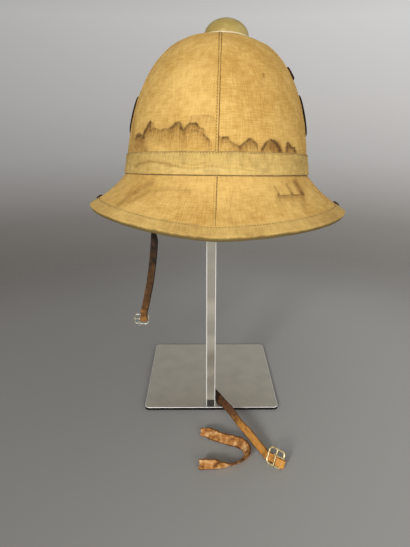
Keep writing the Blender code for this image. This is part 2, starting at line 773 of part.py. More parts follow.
def make_buckle(suffix, frame, prong_place):
    """A wire frame with a middle bar, and a prong that hooks round the bar and rests on the end."""
    origin, along, across, normal = frame
    corners = []
    quarter = np.linspace(0, np.pi / 2, 4)
    inset = BUCKLE_CORNER
    centres_of_corners = (
        # along, across, first angle
        (BUCKLE_LENGTH - inset, inset, -np.pi / 2),
        (BUCKLE_LENGTH - inset, BUCKLE_WIDTH - inset, 0),
        (inset, BUCKLE_WIDTH - inset, np.pi / 2),
        (inset, inset, np.pi),
    )
    for u, a, first in centres_of_corners:
        for angle in first + quarter:
            corners.append((u + inset * np.cos(angle), a + inset * np.sin(angle)))
    u, a = np.array(corners).T
    centres = origin + u[:, None] * along + a[:, None] * across
    sections = wire_sections(centres, normal, WIRE_RADIUS, True)
    buckle = solid("buckle_" + suffix, *ring_body(sections), BRASS)

    middle = origin + along * BUCKLE_LENGTH / 2
    ends = np.array([0.0, BUCKLE_WIDTH])[:, None]
    bar = wire_sections(middle + ends * across, normal, BAR_SHARE * WIRE_RADIUS, False)
    body = ring_body(bar, closed_path=False)
    join(buckle, solid("bar_" + suffix, *body, BRASS))

    reach = WIRE_RADIUS + CLEARANCE + PRONG_RADIUS
    path = [
        (BUCKLE_LENGTH / 2 + reach * math.cos(angle), reach * math.sin(angle))
        for angle in np.linspace(np.pi / 2 + PRONG_HOOK, np.pi / 2, 6)
    ]
    path += [(0.8 * BUCKLE_LENGTH, 1.15 * reach), (BUCKLE_LENGTH + reach, reach)]
    u, n = np.array(path).T
    centres = origin + across * prong_place + u[:, None] * along + n[:, None] * normal
    sections = wire_sections(centres, across, PRONG_RADIUS, False)
    solid("prong_" + suffix, *ring_body(sections, closed_path=False), BRASS)


def buckle_frame(origin, heading, slope, tilt):
    """Origin corner and axes of a buckle: along its length, across it, and out of its face."""
    along = np.array(
        [
            math.cos(heading) * math.cos(slope),
            math.sin(heading) * math.cos(slope),
            math.sin(slope),
        ]
    )
    left = np.cross((0.0, 0.0, 1.0), along)
    left /= np.linalg.norm(left)
    rise = np.cross(along, left)
    across = math.cos(tilt) * left + math.sin(tilt) * rise
    return origin, along, across, np.cross(along, across)


def make_loose_strap():
    """The length that lies over the plate's front edge, twisted at its torn end."""
    rows = (
        # right, ahead of the plate, on the plate, rise, tilt in degrees, share of the width
        (0.036, -0.350, 1, 0.000, 86, 0.35),
        (0.052, -0.130, 1, 0.000, 38, 1),
        (0.122, 0.030, 1, 0.008, 42, 1),
        (0.195, 0.205, 1, 0.032, 55, 1),
        (0.257, 0.380, 1, 0.040, 62, 1),
        (0.343, 0.530, 1, 0.024, 62, 1),
        (0.422, 0.665, 0, 0.032, 62, 1),
    )
    buckle_right, buckle_ahead = 0.508, 0.842
    centres, across, widths = lying_strap(rows, LOOSE_REACH, STRAP_WIDTH)
    corner = np.array(
        [
            LOOSE_REACH * buckle_right,
            -BASE_DEPTH / 2 - LOOSE_REACH * buckle_ahead,
            WIRE_RADIUS + CLEARANCE,
        ]
    )
    frame = buckle_frame(corner, math.radians(-40), 0.0, math.radians(62))
    middle = WIRE_RADIUS + CLEARANCE + STRAP_WIDTH / 2
    end = wrapped_end(frame, middle, -LOOSE_APPROACH, BUCKLE_LENGTH, -1, LOOSE_FLAP)
    centres = np.concatenate([centres, end])
    across = np.concatenate([across, np.tile(frame[2], (len(end), 1))])
    widths = np.concatenate([widths, np.full(len(end), STRAP_WIDTH)])
    solid("strap_loose", *strap_body(centres, across, widths), DARK_LEATHER)
    make_buckle("loose", frame, middle + STRAP_WIDTH / 2 + CLEARANCE + PRONG_RADIUS)


def make_scrap():
    """A torn strip that stands on its edge in an open curl."""
    rows = (
        # right, ahead of the plate, on the plate, rise, tilt in degrees, share of the width
        (-0.24, 0.92, 0, 0, 52, 0.75),
        (-0.12, 0.97, 0, 0, 52, 1),
        (0.10, 1.11, 0, 0, 52, 1),
        (0.36, 1.22, 0, 0, 52, 1),
        (0.54, 1.31, 0, 0, 50, 1),
        (0.61, 1.47, 0, 0, 48, 0.95),
        (0.52, 1.66, 0, 0, 46, 0.9),
        (0.28, 1.79, 0, 0, 55, 0.85),
        (0.04, 1.86, 0, 0, 100, 0.95),
        (-0.24, 1.89, 0, 0, 122, 0.95),
    )
    centres, across, widths = lying_strap(rows, SCRAP_REACH, SCRAP_WIDTH)
    solid("strap_scrap", *strap_body(centres, across, widths), TAN_LEATHER)


def make_hanging_strap():
    """The length riveted inside the left wall. It twists to face forward and ends in a buckle."""
    inside = SHELL_TOP - SHELL_THICKNESS - 2 * CLEARANCE - STRAP_THICKNESS / 2
    anchor = in_world(
        lifted(crown_surface, -np.pi / 2, climb_at_height(HANGING_FROM), inside)
    )
    rows = (
        # inward as a share of the swing, down as a share of the drop, turn of the face in degrees
        (0.03, -0.022, 90),
        (0.01, 0.044, 90),
        (0.12, 0.142, 90),
        (0.47, 0.262, 88),
        (0.81, 0.372, 82),
        (0.95, 0.459, 62),
        (1.01, 0.514, 18),
        (0.96, 0.574, 0),
        (0.81, 0.683, 0),
        (0.58, 0.803, 0),
        (0.30, 0.918, 0),
        (0.06, 1.000, 0),
    )
    inward, down, turn = smooth_rows(rows, 2).T
    level = np.zeros_like(inward)
    centres = anchor + np.stack([HANGING_SWING * inward, level, -HANGING_DROP * down], 1)
    across = tilted_across(centres, turn, np.array([0.0, -1.0, 0.0]))
    if across[-1][0] < 0:
        across = -across
    bottom = centres[-1]

    along = np.array([-0.12, 0.37, -0.92])
    along /= np.linalg.norm(along)
    side = np.array([1.0, 0.0, 0.0]) - along[0] * along
    side /= np.linalg.norm(side)
    normal = np.cross(along, side)
    middle = BUCKLE_WIDTH - WIRE_RADIUS - CLEARANCE - STRAP_WIDTH / 2
    reach = WIRE_RADIUS + CLEARANCE + STRAP_THICKNESS / 2
    to_corner = HANGING_APPROACH + HANGING_LEAD
    origin = bottom + along * to_corner - side * middle - normal * reach
    frame = (origin, along, side, normal)
    end = wrapped_end(frame, middle, -HANGING_APPROACH, BUCKLE_LENGTH / 2, 1, HANGING_FLAP)
    centres = np.concatenate([centres, end])
    across = np.concatenate([across, np.tile(side, (len(end), 1))])
    widths = np.full(len(centres), STRAP_WIDTH)
    solid("strap_hanging", *strap_body(centres, across, widths), DARK_LEATHER)
    make_buckle("hanging", frame, middle - STRAP_WIDTH / 2 - CLEARANCE - PRONG_RADIUS)

    body = turned_body(button_profile(RIVET_RADIUS, RIVET_HEIGHT), AROUND_SMALL)
    rivet = solid("strap_rivet", *body, BRASS)
    gap = STRAP_THICKNESS / 2 + CLEARANCE
    place = (centres[0] + centres[2]) / 2 + np.array([gap, 0, 0])
    rivet.matrix_world = facing(place, np.array([1.0, 0.0, 0.0]))


def rounded_plate(name, width, depth, height, corner, edge, look):
    """A box with rounded upright corners and a small bevel on its other edges."""
    body = bmesh.new()
    bmesh.ops.create_cube(body, size=1)
    bmesh.ops.scale(body, vec=(width, depth, height), verts=body.verts)
    upright = [e for e in body.edges if abs(e.verts[0].co.z - e.verts[1].co.z) > height / 2]
    bmesh.ops.bevel(
        body, geom=upright, offset=corner, segments=4, profile=0.5, affect="EDGES"
    )
    flat = [e for e in body.edges if abs(e.verts[0].co.z - e.verts[1].co.z) < height / 2]
    bmesh.ops.bevel(body, geom=flat, offset=edge, segments=2, profile=0.5, affect="EDGES")
    mesh = bpy.data.meshes.new(name)
    body.to_mesh(mesh)
    body.free()
    mesh.shade_smooth()
    mesh.set_sharp_from_angle(angle=math.radians(35))
    mesh.materials.append(finish(name, look))
    plate = bpy.data.objects.new(name, mesh)
    bpy.context.scene.collection.objects.link(plate)
    return plate


def make_stand():
    """The plate, the square bar at its front edge, and the hidden arm, stem and pad in the crown."""
    base = rounded_plate(
        "stand_base", BASE_WIDTH, BASE_DEPTH, BASE_THICKNESS, BASE_CORNER, BASE_EDGE, POLISHED
    )
    base.location = (0, 0, BASE_THICKNESS / 2)
    post = rounded_plate(
        "stand_post", POST_SIDE, POST_SIDE, POST_HEIGHT, POST_EDGE, REST_EDGE, POLISHED
    )
    post_back = -BASE_DEPTH / 2 + POST_INSET + POST_SIDE / 2
    post.location = (POST_SHIFT, post_back, POST_TOP - POST_HEIGHT / 2)

    arm_length = SEAT_BACK + REST_STEM_RADIUS - (post_back - POST_SIDE / 2)
    arm = rounded_plate(
        "stand_rest", REST_BAR, arm_length, REST_BAR, POST_EDGE, REST_EDGE, POLISHED
    )
    arm_middle = (POST_SHIFT + SEAT_RIGHT) / 2
    arm.location = (
        arm_middle,
        post_back - POST_SIDE / 2 + arm_length / 2,
        POST_TOP + CLEARANCE + REST_BAR / 2,
    )
    arm.rotation_euler = (0, 0, -math.atan2(SEAT_RIGHT - POST_SHIFT, SEAT_BACK - post_back))

    stem_profile = [
        (0, STEM_FOOT - REST_BAR / 2),
        (REST_STEM_RADIUS, STEM_FOOT - REST_BAR / 2),
        (REST_STEM_RADIUS, PAD_TOP - REST_PAD_THICKNESS / 2),
        (0, PAD_TOP - REST_PAD_THICKNESS / 2),
    ]
    stem = solid("rest_stem", *turned_body(stem_profile, 12), POLISHED)
    stem.location = (SEAT_RIGHT, SEAT_BACK, 0)

    turns = FULL_TURN[None, ::2]
    pad_foot = float(climb_at_radius(REST_PAD_RADIUS))
    climbs = [pad_foot] + [climb for climb in shell_climbs() if climb > pad_foot]
    climbs = np.array(climbs)[:, None]
    lift = SHELL_TOP - SHELL_THICKNESS - 2 * CLEARANCE
    rings = lifted(crown_surface, turns, climbs, lift)
    foot = rings[:1].copy()
    foot[..., 2] = CEILING - CLEARANCE - REST_PAD_THICKNESS
    rings = np.concatenate([foot, rings])
    rows, columns = rings.shape[:2]
    poles = [(0, 0, foot[0, 0, 2]), (0, 0, CEILING - CLEARANCE)]
    points = np.concatenate([rings.reshape(-1, 3), poles])
    faces = quads(rows, columns, 0, True)
    last = (rows - 1) * columns
    for column in range(columns):
        beside = (column + 1) % columns
        faces.append((beside, column, len(points) - 2))
        faces.append((last + column, last + beside, len(points) - 1))
    pad = solid("rest_pad", points, faces, POLISHED, helmet)
    join(arm, stem)
    join(arm, pad)


make_stand()
make_shell()
make_gores()
make_brim_panels()
make_seams()
make_band()
make_binding()
make_ventilator()
make_badges()
make_studs()
make_hanging_strap()
make_loose_strap()
make_scrap()
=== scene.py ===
"""How the pith helmet on its display stand looks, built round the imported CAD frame.

The sections follow the order in which the real thing goes together: stand, pith, cloth, band,
ventilator, metal fittings, straps. Metres, +Z up, the viewer stands at -Y.
"""

import math

import bpy
import numpy as np
from mathutils import Matrix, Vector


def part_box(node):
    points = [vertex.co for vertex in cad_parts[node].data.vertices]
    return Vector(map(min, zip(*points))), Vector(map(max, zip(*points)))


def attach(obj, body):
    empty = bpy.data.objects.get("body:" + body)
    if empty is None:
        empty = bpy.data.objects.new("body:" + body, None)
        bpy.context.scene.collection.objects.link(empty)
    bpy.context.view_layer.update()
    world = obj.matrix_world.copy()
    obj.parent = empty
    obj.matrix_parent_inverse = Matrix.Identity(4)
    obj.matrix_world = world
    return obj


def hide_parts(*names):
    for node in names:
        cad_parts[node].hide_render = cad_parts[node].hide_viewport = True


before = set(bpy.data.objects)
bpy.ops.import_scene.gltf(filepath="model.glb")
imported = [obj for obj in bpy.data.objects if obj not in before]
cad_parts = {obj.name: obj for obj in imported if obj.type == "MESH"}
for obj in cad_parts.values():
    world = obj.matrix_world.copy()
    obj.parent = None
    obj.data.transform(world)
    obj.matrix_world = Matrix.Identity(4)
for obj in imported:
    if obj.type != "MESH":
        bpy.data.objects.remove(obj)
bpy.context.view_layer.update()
MM = 0.001

# Stand: a plate, a square bar at its front edge and a hidden arm and pad, all of polished steel.
# They are cut from stock, with edges barely broken, and the bar is fixed from below.


class Signal:
    """A shader value that adds, subtracts and multiplies like a number."""

    def __init__(self, look, output):
        self.look = look
        self.output = output

    def combine(self, operation, first, second):
        return self.look.node("ShaderNodeMath", {"operation": operation}, {0: first, 1: second})

    def __add__(self, other):
        return self.combine("ADD", self, other)

    def __sub__(self, other):
        return self.combine("SUBTRACT", self, other)

    def __rsub__(self, other):
        return self.combine("SUBTRACT", other, self)

    def __mul__(self, other):
        return self.combine("MULTIPLY", self, other)

    __radd__ = __add__
    __rmul__ = __mul__


class Nodes:
    """A shader tree that grows by one node at a time."""

    def __init__(self, tree):
        self.tree = tree

    def feed(self, socket, value):
        if isinstance(value, Signal):
            self.tree.links.new(value.output, socket)
        else:
            socket.default_value = value

    def node(self, kind, settings, inputs, output=0):
        node = self.tree.nodes.new(kind)
        for key, value in settings.items():
            setattr(node, key, value)
        for key, value in inputs.items():
            self.feed(node.inputs[key], value)
        return Signal(self, node.outputs[output])

    def ramp(self, value, low, high):
        """0 below low, 1 above high, smooth between them."""
        settings = {"interpolation_type": "SMOOTHSTEP"}
        return self.node("ShaderNodeMapRange", settings, {0: value, 1: low, 2: high})

    def mix(self, share, first, second):
        """Blends two colours, the second one where the share is 1. The node keeps its sockets for
        colours at 6, 7 and 2."""
        first = (*first, 1) if isinstance(first, tuple) else first
        second = (*second, 1) if isinstance(second, tuple) else second
        return self.node("ShaderNodeMix", {"data_type": "RGBA"}, {0: share, 6: first, 7: second}, 2)

    def parts(self, point):
        """A point's parts to the right, back and up."""
        split = self.node("ShaderNodeSeparateXYZ", {}, {0: point}).output.node
        return [Signal(self, split.outputs[letter]) for letter in "XYZ"]


class Look(Nodes):
    """A material on one Principled shader."""

    def __init__(self, name, metallic=0.0, roughness=0.8, specular=0.5):
        self.material = bpy.data.materials.new(name)
        self.material.use_nodes = True
        super().__init__(self.material.node_tree)
        self.shader = self.tree.nodes["Principled BSDF"]
        self.shade("Metallic", metallic)
        self.shade("Roughness", roughness)
        self.shade("Specular IOR Level", specular)

    def shade(self, name, value):
        self.feed(self.shader.inputs[name], value)

    def paint(self, value, low, high, first, second):
        """Colours the surface from first to second as a value goes from low to high."""
        self.shade("Base Color", self.mix(self.ramp(value, low, high), first, second))

    def tint(self, share, colour):
        """Lays a colour over the one that is there, fully where the share is 1."""
        below = self.shader.inputs["Base Color"].links[0].from_socket
        self.shade("Base Color", self.mix(share, Signal(self, below), colour))

    def place(self):
        """The point in the object's own metres."""
        return self.node("ShaderNodeTexCoord", {}, {}, "Object")

    def noise(self, size, detail=2.0, stretch=(1, 1, 1), flat=False):
        """Noise with features of this size, in space or on the flat cloth, drawn out along an axis
        where stretch is below 1."""
        point = self.node("ShaderNodeUVMap", {"uv_map": "cloth"}, {}) if flat else self.place()
        point = self.node("ShaderNodeVectorMath", {"operation": "MULTIPLY"}, {0: point, 1: stretch})
        inputs = {"Vector": point, "Scale": 1 / size, "Detail": detail}
        return self.node("ShaderNodeTexNoise", {}, inputs)

    def attribute(self, name):
        return self.node("ShaderNodeAttribute", {"attribute_name": name}, {}, "Fac")

    def bump(self, height, depth, strength=1.0):
        inputs = {"Height": height, "Distance": depth, "Strength": strength}
        self.shade("Normal", self.node("ShaderNodeBump", {}, inputs, "Normal"))


def grid_faces(rows, columns, wrap_rows=False, wrap_columns=False):
    """Four-sided faces of a grid of points; a wrapped side joins its last line to its first."""
    row = np.arange(rows if wrap_rows else rows - 1)[:, None]
    column = np.arange(columns if wrap_columns else columns - 1)[None, :]
    above = (row + 1) % rows
    beside = (column + 1) % columns
    corners = (
        row * columns + column,
        row * columns + beside,
        above * columns + beside,
        above * columns + column,
    )
    return np.stack(np.broadcast_arrays(*corners), -1).reshape(-1, 4)


def fan_faces(rim, pole):
    """Triangles from a closed rim to one point."""
    return np.stack([rim, np.roll(rim, -1), np.full_like(rim, pole)], -1)


def capped_faces(rows, around):
    """Faces of closed rings in a row and a fan over each end. Two poles follow the rings' points."""
    rim = np.arange(around)
    count = rows * around
    return [
        grid_faces(rows, around, wrap_columns=True),
        fan_faces(rim[::-1], count),
        fan_faces(count - around + rim, count + 1),
    ]


def build(name, points, faces, look, slot=None, *nodes, cloth=None, period=None, marks=None):
    """A smooth mesh object that stands for these CAD nodes and, when given a slot, hangs from the root
    body. faces is a list of arrays, cloth holds each point's place on flat cloth, period is how far
    round a closed strip it starts again, and marks are values at the points that the look reads."""
    points = np.asarray(points, float).reshape(-1, 3)
    volume = 0.0
    for part in faces:
        for corner in range(1, part.shape[1] - 1):
            volume += np.linalg.det(points[part[:, [0, corner, corner + 1]]]).sum()
    if volume < 0:
        faces = [part[:, ::-1] for part in faces]
    loops = np.concatenate([part.ravel() for part in faces])
    sides = np.concatenate([np.full(len(part), part.shape[1]) for part in faces])
    starts = np.cumsum(sides) - sides
    mesh = bpy.data.meshes.new(name)
    mesh.vertices.add(len(points))
    mesh.vertices.foreach_set("co", points.ravel())
    mesh.loops.add(len(loops))
    mesh.loops.foreach_set("vertex_index", loops)
    mesh.polygons.add(len(sides))
    mesh.polygons.foreach_set("loop_start", starts)
    mesh.materials.append(look.material)
    if cloth is not None:
        flat = np.asarray(cloth, float).reshape(-1, 2)[loops]
        if period:
            first = np.repeat(starts, sides)
            flat[:, 0] += np.round((flat[first, 0] - flat[:, 0]) / period) * period
        mesh.uv_layers.new(name="cloth").uv.foreach_set("vector", flat.ravel())
    for label, values in (marks or {}).items():
        layer = mesh.attributes.new(label, "FLOAT", "POINT")
        layer.data.foreach_set("value", np.asarray(values, float).ravel())
    mesh.update(calc_edges=True)
    mesh.shade_smooth()
    mesh.set_sharp_from_angle(angle=SHARP_ANGLE)
    piece = bpy.data.objects.new(name, mesh)
    bpy.context.scene.collection.objects.link(piece)
    if slot:
        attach(piece, "root")
    if nodes:
        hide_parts(*nodes)
    return piece


SHARP_ANGLE = math.radians(40)
STEEL = (0.80, 0.745, 0.63)
STEEL_SMEARED = (0.73, 0.68, 0.57)
STEEL_PAINTED_GLINT = (0.97, 0.95, 0.90)
STEEL_CUT_SHADE_AND_REFLECTION = (0.05, 0.045, 0.04)
STEEL_SHADE = (0.42, 0.37, 0.32)
PLATE_CORNER = 5 * MM
PLATE_EDGE = 0.9 * MM
BAR_CORNER = 0.6 * MM
FOOT_REFLECTION_RISE = 14 * MM
FOOT_REFLECTION_RIGHT = 11 * MM
BAR_EDGE = 0.5 * MM
RELIEF = 0.3 * MM
ARC_POINTS = 7
CUT_RINGS = np.arange(3, 10)
BROKEN_RINGS = np.arange(10, 13)


def steel_look(name, roughness, metallic):
    """Polished steel with faint smears, a painted highlight where an edge is broken, and painted
    near-black shade on the cut sides, which are also duller.
    """
    look = Look(name)
    smears = look.noise(22 * MM, 5.0, (1, 1, 0.25))
    look.paint(smears, 0.35, 0.75, STEEL, STEEL_SMEARED)
    # Painted shade: the cut sides are painted near-black, much darker than their duller cut finish
    # alone.
    look.tint(look.attribute("cut_side_shade"), STEEL_CUT_SHADE_AND_REFLECTION)
    # Painted highlight: where the bright mark is set, the colour goes near-white and the metal drops,
    # as a glint on the edge.
    bright = look.attribute("bright")
    look.tint(bright, STEEL_PAINTED_GLINT)
    look.shade("Metallic", metallic - bright * 0.7)
    look.shade("Roughness", smears * 0.1 + roughness)
    look.bump(look.noise(0.5 * MM, stretch=(1, 1, 0.02)), 0.01 * MM, 0.2)
    return look


def rounded_outline(half_width, half_depth, corner):
    """A rectangle with quarter-circle corners, and a point just past each end of a corner, so that
    the straight sides stay flat under smooth shading."""
    angles = np.linspace(0, np.pi / 2, ARC_POINTS)
    arc = corner * np.stack([np.cos(angles), np.sin(angles)], 1)
    arc = np.concatenate([[arc[0] - (0, RELIEF)], arc, [arc[-1] - (RELIEF, 0)]])
    quarter_turn = np.array([[0, 1], [-1, 0]])
    quarters = []
    for number in range(4):
        span = (half_width, half_depth) if number % 2 == 0 else (half_depth, half_width)
        spin = np.linalg.matrix_power(quarter_turn, number)
        quarters.append((arc + np.array(span) - corner) @ spin)
    return np.concatenate(quarters)


def stock(low, high, corner, edge):
    """A length of stock between two corners of a box: rounded outlines one above another, drawn in
    along a quarter circle at both ends, and closed by flat faces. Also gives each point's ring,
    counted upward, and whether the point lies on a rounded upright corner."""
    middle = (low + high) / 2
    half = (high - low) / 2
    bend = np.linspace(0, np.pi / 2, ARC_POINTS)
    inset = np.r_[edge + RELIEF, edge * (1 - np.sin(bend)), edge * (1 - np.cos(bend)), edge + RELIEF]
    rise = edge * np.r_[0, 1 - np.cos(bend)]
    heights = np.r_[low[2] + rise, high[2] - rise[::-1]]
    rings = []
    for step, height in zip(inset, heights):
        outline = rounded_outline(half[0] - step, half[1] - step, max(corner - step, 0.2 * corner))
        rings.append(np.c_[outline + middle[:2], np.full(len(outline), height)])
    size = (len(rings), len(rings[0]))
    ends = [(*middle[:2], low[2]), (*middle[:2], high[2])]
    ring, spot = (np.r_[numbers.ravel(), -1, -1] for numbers in np.indices(size))
    on_corner = (spot >= 0) & np.isin(spot % (ARC_POINTS + 2), np.arange(1, ARC_POINTS + 1))
    return np.concatenate(rings + [ends]), capped_faces(*size), ring, on_corner


plate_steel = steel_look("plate_steel", 0.3, 1.0)
low, high = (np.array(end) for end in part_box("stand_base"))
points, faces, ring, _ = stock(low, high, PLATE_CORNER, PLATE_EDGE)
# The broken top edge gets a painted highlight and the cut sides get painted near-black shade.
marks = {"bright": np.isin(ring, BROKEN_RINGS), "cut_side_shade": np.isin(ring, CUT_RINGS)}
build("stand_plate", points, faces, plate_steel, "polished_steel", "stand_base", marks=marks)

bar_steel = steel_look("bar_steel", 0.08, 0.72)
# Painted reflections: darker horizontal bands up the bar and a near-black patch at its foot. Its
# rounded corners carry the painted highlight.
flat = 1 - bar_steel.attribute("bright")
bands = bar_steel.noise(30 * MM, 2.0, (0.15, 0.15, 1))
bar_steel.tint(bar_steel.ramp(bands, 0.42, 0.62) * flat * 0.5, STEEL_SHADE)
right, _, rise = bar_steel.parts(bar_steel.place())
foot = bar_steel.ramp(rise, FOOT_REFLECTION_RISE, FOOT_REFLECTION_RISE - 1 * MM)
foot = foot * bar_steel.ramp(right, FOOT_REFLECTION_RIGHT, FOOT_REFLECTION_RIGHT - 1 * MM)
bar_steel.tint(foot * flat * 0.9, STEEL_CUT_SHADE_AND_REFLECTION)
low, high = (np.array(end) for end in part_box("stand_post"))
points, faces, _, on_corner = stock(low, high, BAR_CORNER, BAR_EDGE)
marks = {"bright": on_corner}
build("stand_bar", points, faces, bar_steel, "polished_steel", "stand_post", marks=marks)
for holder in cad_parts["stand_rest"].material_slots:
    holder.material = plate_steel.material

# Pith: the body is one moulded wall of sola pith, crown and brim together, about 3 mm thick and
# thinner at the brim. Its edge and outside are covered by cloth, so only the inside shows.

CROWN_HALF_WIDTH = 91.5 * MM
CROWN_HALF_LENGTH = 109 * MM
CROWN_HEIGHT = 136.6 * MM
CROWN_ROUNDNESS = 2.32
CROWN_DIP = 4.8 * MM
CROWN_DIP_SPREAD = 0.38
CROWN_TOP = CROWN_HEIGHT - CROWN_DIP
FOOT_TILT = 1.6 * MM
VENT_SHIFT = 5.8 * MM
FOOT_FLARE = 2.8 * MM
FOOT_FLARE_REACH = 15 * MM
SIDE_OVERHANG = 36 * MM
FRONT_OVERHANG = 45 * MM
REAR_OVERHANG = 56 * MM
SIDE_DROP = 30.9 * MM
FRONT_DROP = 44.9 * MM
REAR_DROP = 43.9 * MM
OVERHANG_SPREAD = 1.7
DROP_SPREAD = 1.33
BRIM_SKEW = 1.8 * MM
BRIM_LIFT_LEFT = 1.2 * MM
BRIM_CURL = 0.42
HEM_WIDTH = 10 * MM
COVER = 1.2 * MM
GAP = 0.3 * MM
TINY = 1e-4
SHELL_TOP = -COVER - GAP
SHELL_THICKNESS = 3 * MM
SHELL_EDGE_THICKNESS = 2 * MM
SEAT = np.array([8.5, -1.7, 380.5]) * MM
CEILING = CROWN_TOP + SHELL_TOP - SHELL_THICKNESS
LEAN = (
    Matrix.Rotation(math.radians(-2.0), 3, "Z")
    @ Matrix.Rotation(math.radians(1.35), 3, "Y")
    @ Matrix.Rotation(math.radians(-7.1), 3, "X")
)
LEAN = np.array(LEAN)
HELMET_AT = SEAT - LEAN @ np.array([0, 0, CEILING - GAP])


def climb_at_height(height):
    """Where a height above the foot lies on the crown's profile, 0 at the foot to 1 at the top."""
    return 2 / np.pi * np.arcsin((height / CROWN_HEIGHT) ** (CROWN_ROUNDNESS / 2))


def climb_at_radius(radius):
    """Where the crown's profile comes in to a radius."""
    return 2 / np.pi * np.arccos((radius / CROWN_HALF_WIDTH) ** (CROWN_ROUNDNESS / 2))


def crown(turn, climb):
    """Oval plan times a superellipse profile, with a flare that fades upward from the foot, a top
    flattened round the ventilator, and a tilt that is full at the foot and none at the top."""
    spread = np.cos(climb * np.pi / 2) ** (2 / CROWN_ROUNDNESS)
    height = CROWN_HEIGHT * np.sin(climb * np.pi / 2) ** (2 / CROWN_ROUNDNESS)
    flare = FOOT_FLARE * spread * np.exp(-height / FOOT_FLARE_REACH)
    right = (CROWN_HALF_WIDTH * spread + flare) * np.sin(turn)
    back = -(CROWN_HALF_LENGTH * spread + flare) * np.cos(turn)
    from_vent = np.hypot((right - VENT_SHIFT) / CROWN_HALF_WIDTH, back / CROWN_HALF_LENGTH)
    dip = CROWN_DIP * np.exp(-((from_vent / CROWN_DIP_SPREAD) ** 4))
    return np.stack([right, back, height - dip + FOOT_TILT * np.sin(turn) * spread], -1)


def between_side_and_end(turn, side, front, rear, spread):
    """A size with one value at the sides and others in front and behind."""
    end = np.where(np.cos(turn) > 0, front, rear)
    return side + (end - side) * (1 - np.abs(np.sin(turn)) ** spread)


def overhang(turn):
    even = between_side_and_end(turn, SIDE_OVERHANG, FRONT_OVERHANG, REAR_OVERHANG, OVERHANG_SPREAD)
    return even + BRIM_SKEW * np.sin(turn)


def drop(turn):
    even = between_side_and_end(turn, SIDE_DROP, FRONT_DROP, REAR_DROP, DROP_SPREAD)
    bent = np.clip(-np.sin(2 * turn), 0, None) ** 2 * (np.cos(turn) > 0)
    return even - BRIM_LIFT_LEFT * bent


def brim(turn, climb):
    """From the edge (0) up to the crown's foot (1): it leaves the oval square on and curls out."""
    out = 1 - climb
    reach = overhang(turn) * ((1 - BRIM_CURL) * out + BRIM_CURL * out**2)
    half_width = CROWN_HALF_WIDTH + FOOT_FLARE
    half_length = CROWN_HALF_LENGTH + FOOT_FLARE
    slope_x = half_length * np.sin(turn)
    slope_y = -half_width * np.cos(turn)
    length = np.hypot(slope_x, slope_y)
    right = half_width * np.sin(turn) + reach * slope_x / length
    back = -half_length * np.cos(turn) + reach * slope_y / length
    return np.stack([right, back, FOOT_TILT * np.sin(turn) * climb - drop(turn) * out], -1)


def unit(vectors):
    """The vectors at length 1."""
    return vectors / np.linalg.norm(vectors, axis=-1, keepdims=True)


def on_helmet(surface, turn, climb, lift=0.0):
    """World points of a surface of the helmet, moved along its outward normal by lift."""
    turn, climb, lift = np.broadcast_arrays(turn, climb, lift)
    upward = surface(turn, np.clip(climb + TINY, 0, 1)) - surface(turn, np.clip(climb - TINY, 0, 1))
    sideways = surface(turn + TINY, climb) - surface(turn - TINY, climb)
    normal = unit(np.cross(sideways, upward))
    return (surface(turn, climb) + lift[..., None] * normal) @ LEAN.T + HELMET_AT


def travelled(points):
    """How far along a line of points each one lies."""
    return np.cumsum(np.r_[0, np.linalg.norm(np.diff(points, axis=0), axis=1)])


def even_climbs(turn, low, high, count):
    """Climbs from low to high with equal steps up the crown."""
    tries = np.linspace(low, high, 400)
    travel = travelled(crown(np.full_like(tries, turn), tries))
    return np.interp(np.linspace(0, travel[-1], count), travel, tries)


def full_turn(count):
    """Even angles round a full turn."""
    return np.linspace(0, 2 * np.pi, count, endpoint=False)


PITH_LIGHT = (0.50, 0.38, 0.23)
PITH_DARK = (0.34, 0.24, 0.13)
PITH_AROUND = 240
PITH_BRIM_ROWS = 20
PITH_CROWN_ROWS = 40
PITH_POLE_RADIUS = 3 * MM

pith = Look("pith", roughness=0.9, specular=0.2)
pith.paint(pith.noise(6 * MM, 6.0), 0.3, 0.7, PITH_DARK, PITH_LIGHT)
pith.bump(pith.noise(2 * MM, 4.0), 0.3 * MM, 0.6)

turn = full_turn(PITH_AROUND)
brim_rows = np.linspace(0, 1, PITH_BRIM_ROWS, endpoint=False)[:, None]
crown_rows = even_climbs(0.0, 0.0, climb_at_radius(PITH_POLE_RADIUS), PITH_CROWN_ROWS)[:, None]
share = np.minimum(2 * brim_rows, 1)
brim_wall = SHELL_EDGE_THICKNESS + (SHELL_THICKNESS - SHELL_EDGE_THICKNESS) * share
layers = np.concatenate(
    [
        on_helmet(brim, turn, brim_rows, SHELL_TOP),
        on_helmet(crown, turn, crown_rows, SHELL_TOP),
        on_helmet(crown, turn, crown_rows, SHELL_TOP - SHELL_THICKNESS)[::-1],
        on_helmet(brim, turn, brim_rows, SHELL_TOP - brim_wall)[::-1],
    ]
)
rows = len(layers)
heights = (CROWN_TOP + SHELL_TOP, CEILING)
poles = [LEAN @ np.array([0, 0, height]) + HELMET_AT for height in heights]
faces = grid_faces(rows, PITH_AROUND, wrap_rows=True, wrap_columns=True).reshape(rows, -1, 4)
faces = np.delete(faces, rows // 2 - 1, 0).reshape(-1, 4)
rim = rows // 2 * PITH_AROUND + np.arange(PITH_AROUND)
count = rows * PITH_AROUND
faces = [faces, fan_faces(rim - PITH_AROUND, count), fan_faces(rim[::-1], count + 1)]
points = np.concatenate([layers.reshape(-1, 3), poles])
build("pith_wall", points, faces, pith, "pith", "pith_shell")

# Crown cloth: six gores of khaki cotton drill cut to taper upward, drawn tight over the pith and
# glued. They meet at felled seams, and their feet are under the band. Old water marks and painted
# shade show in front.

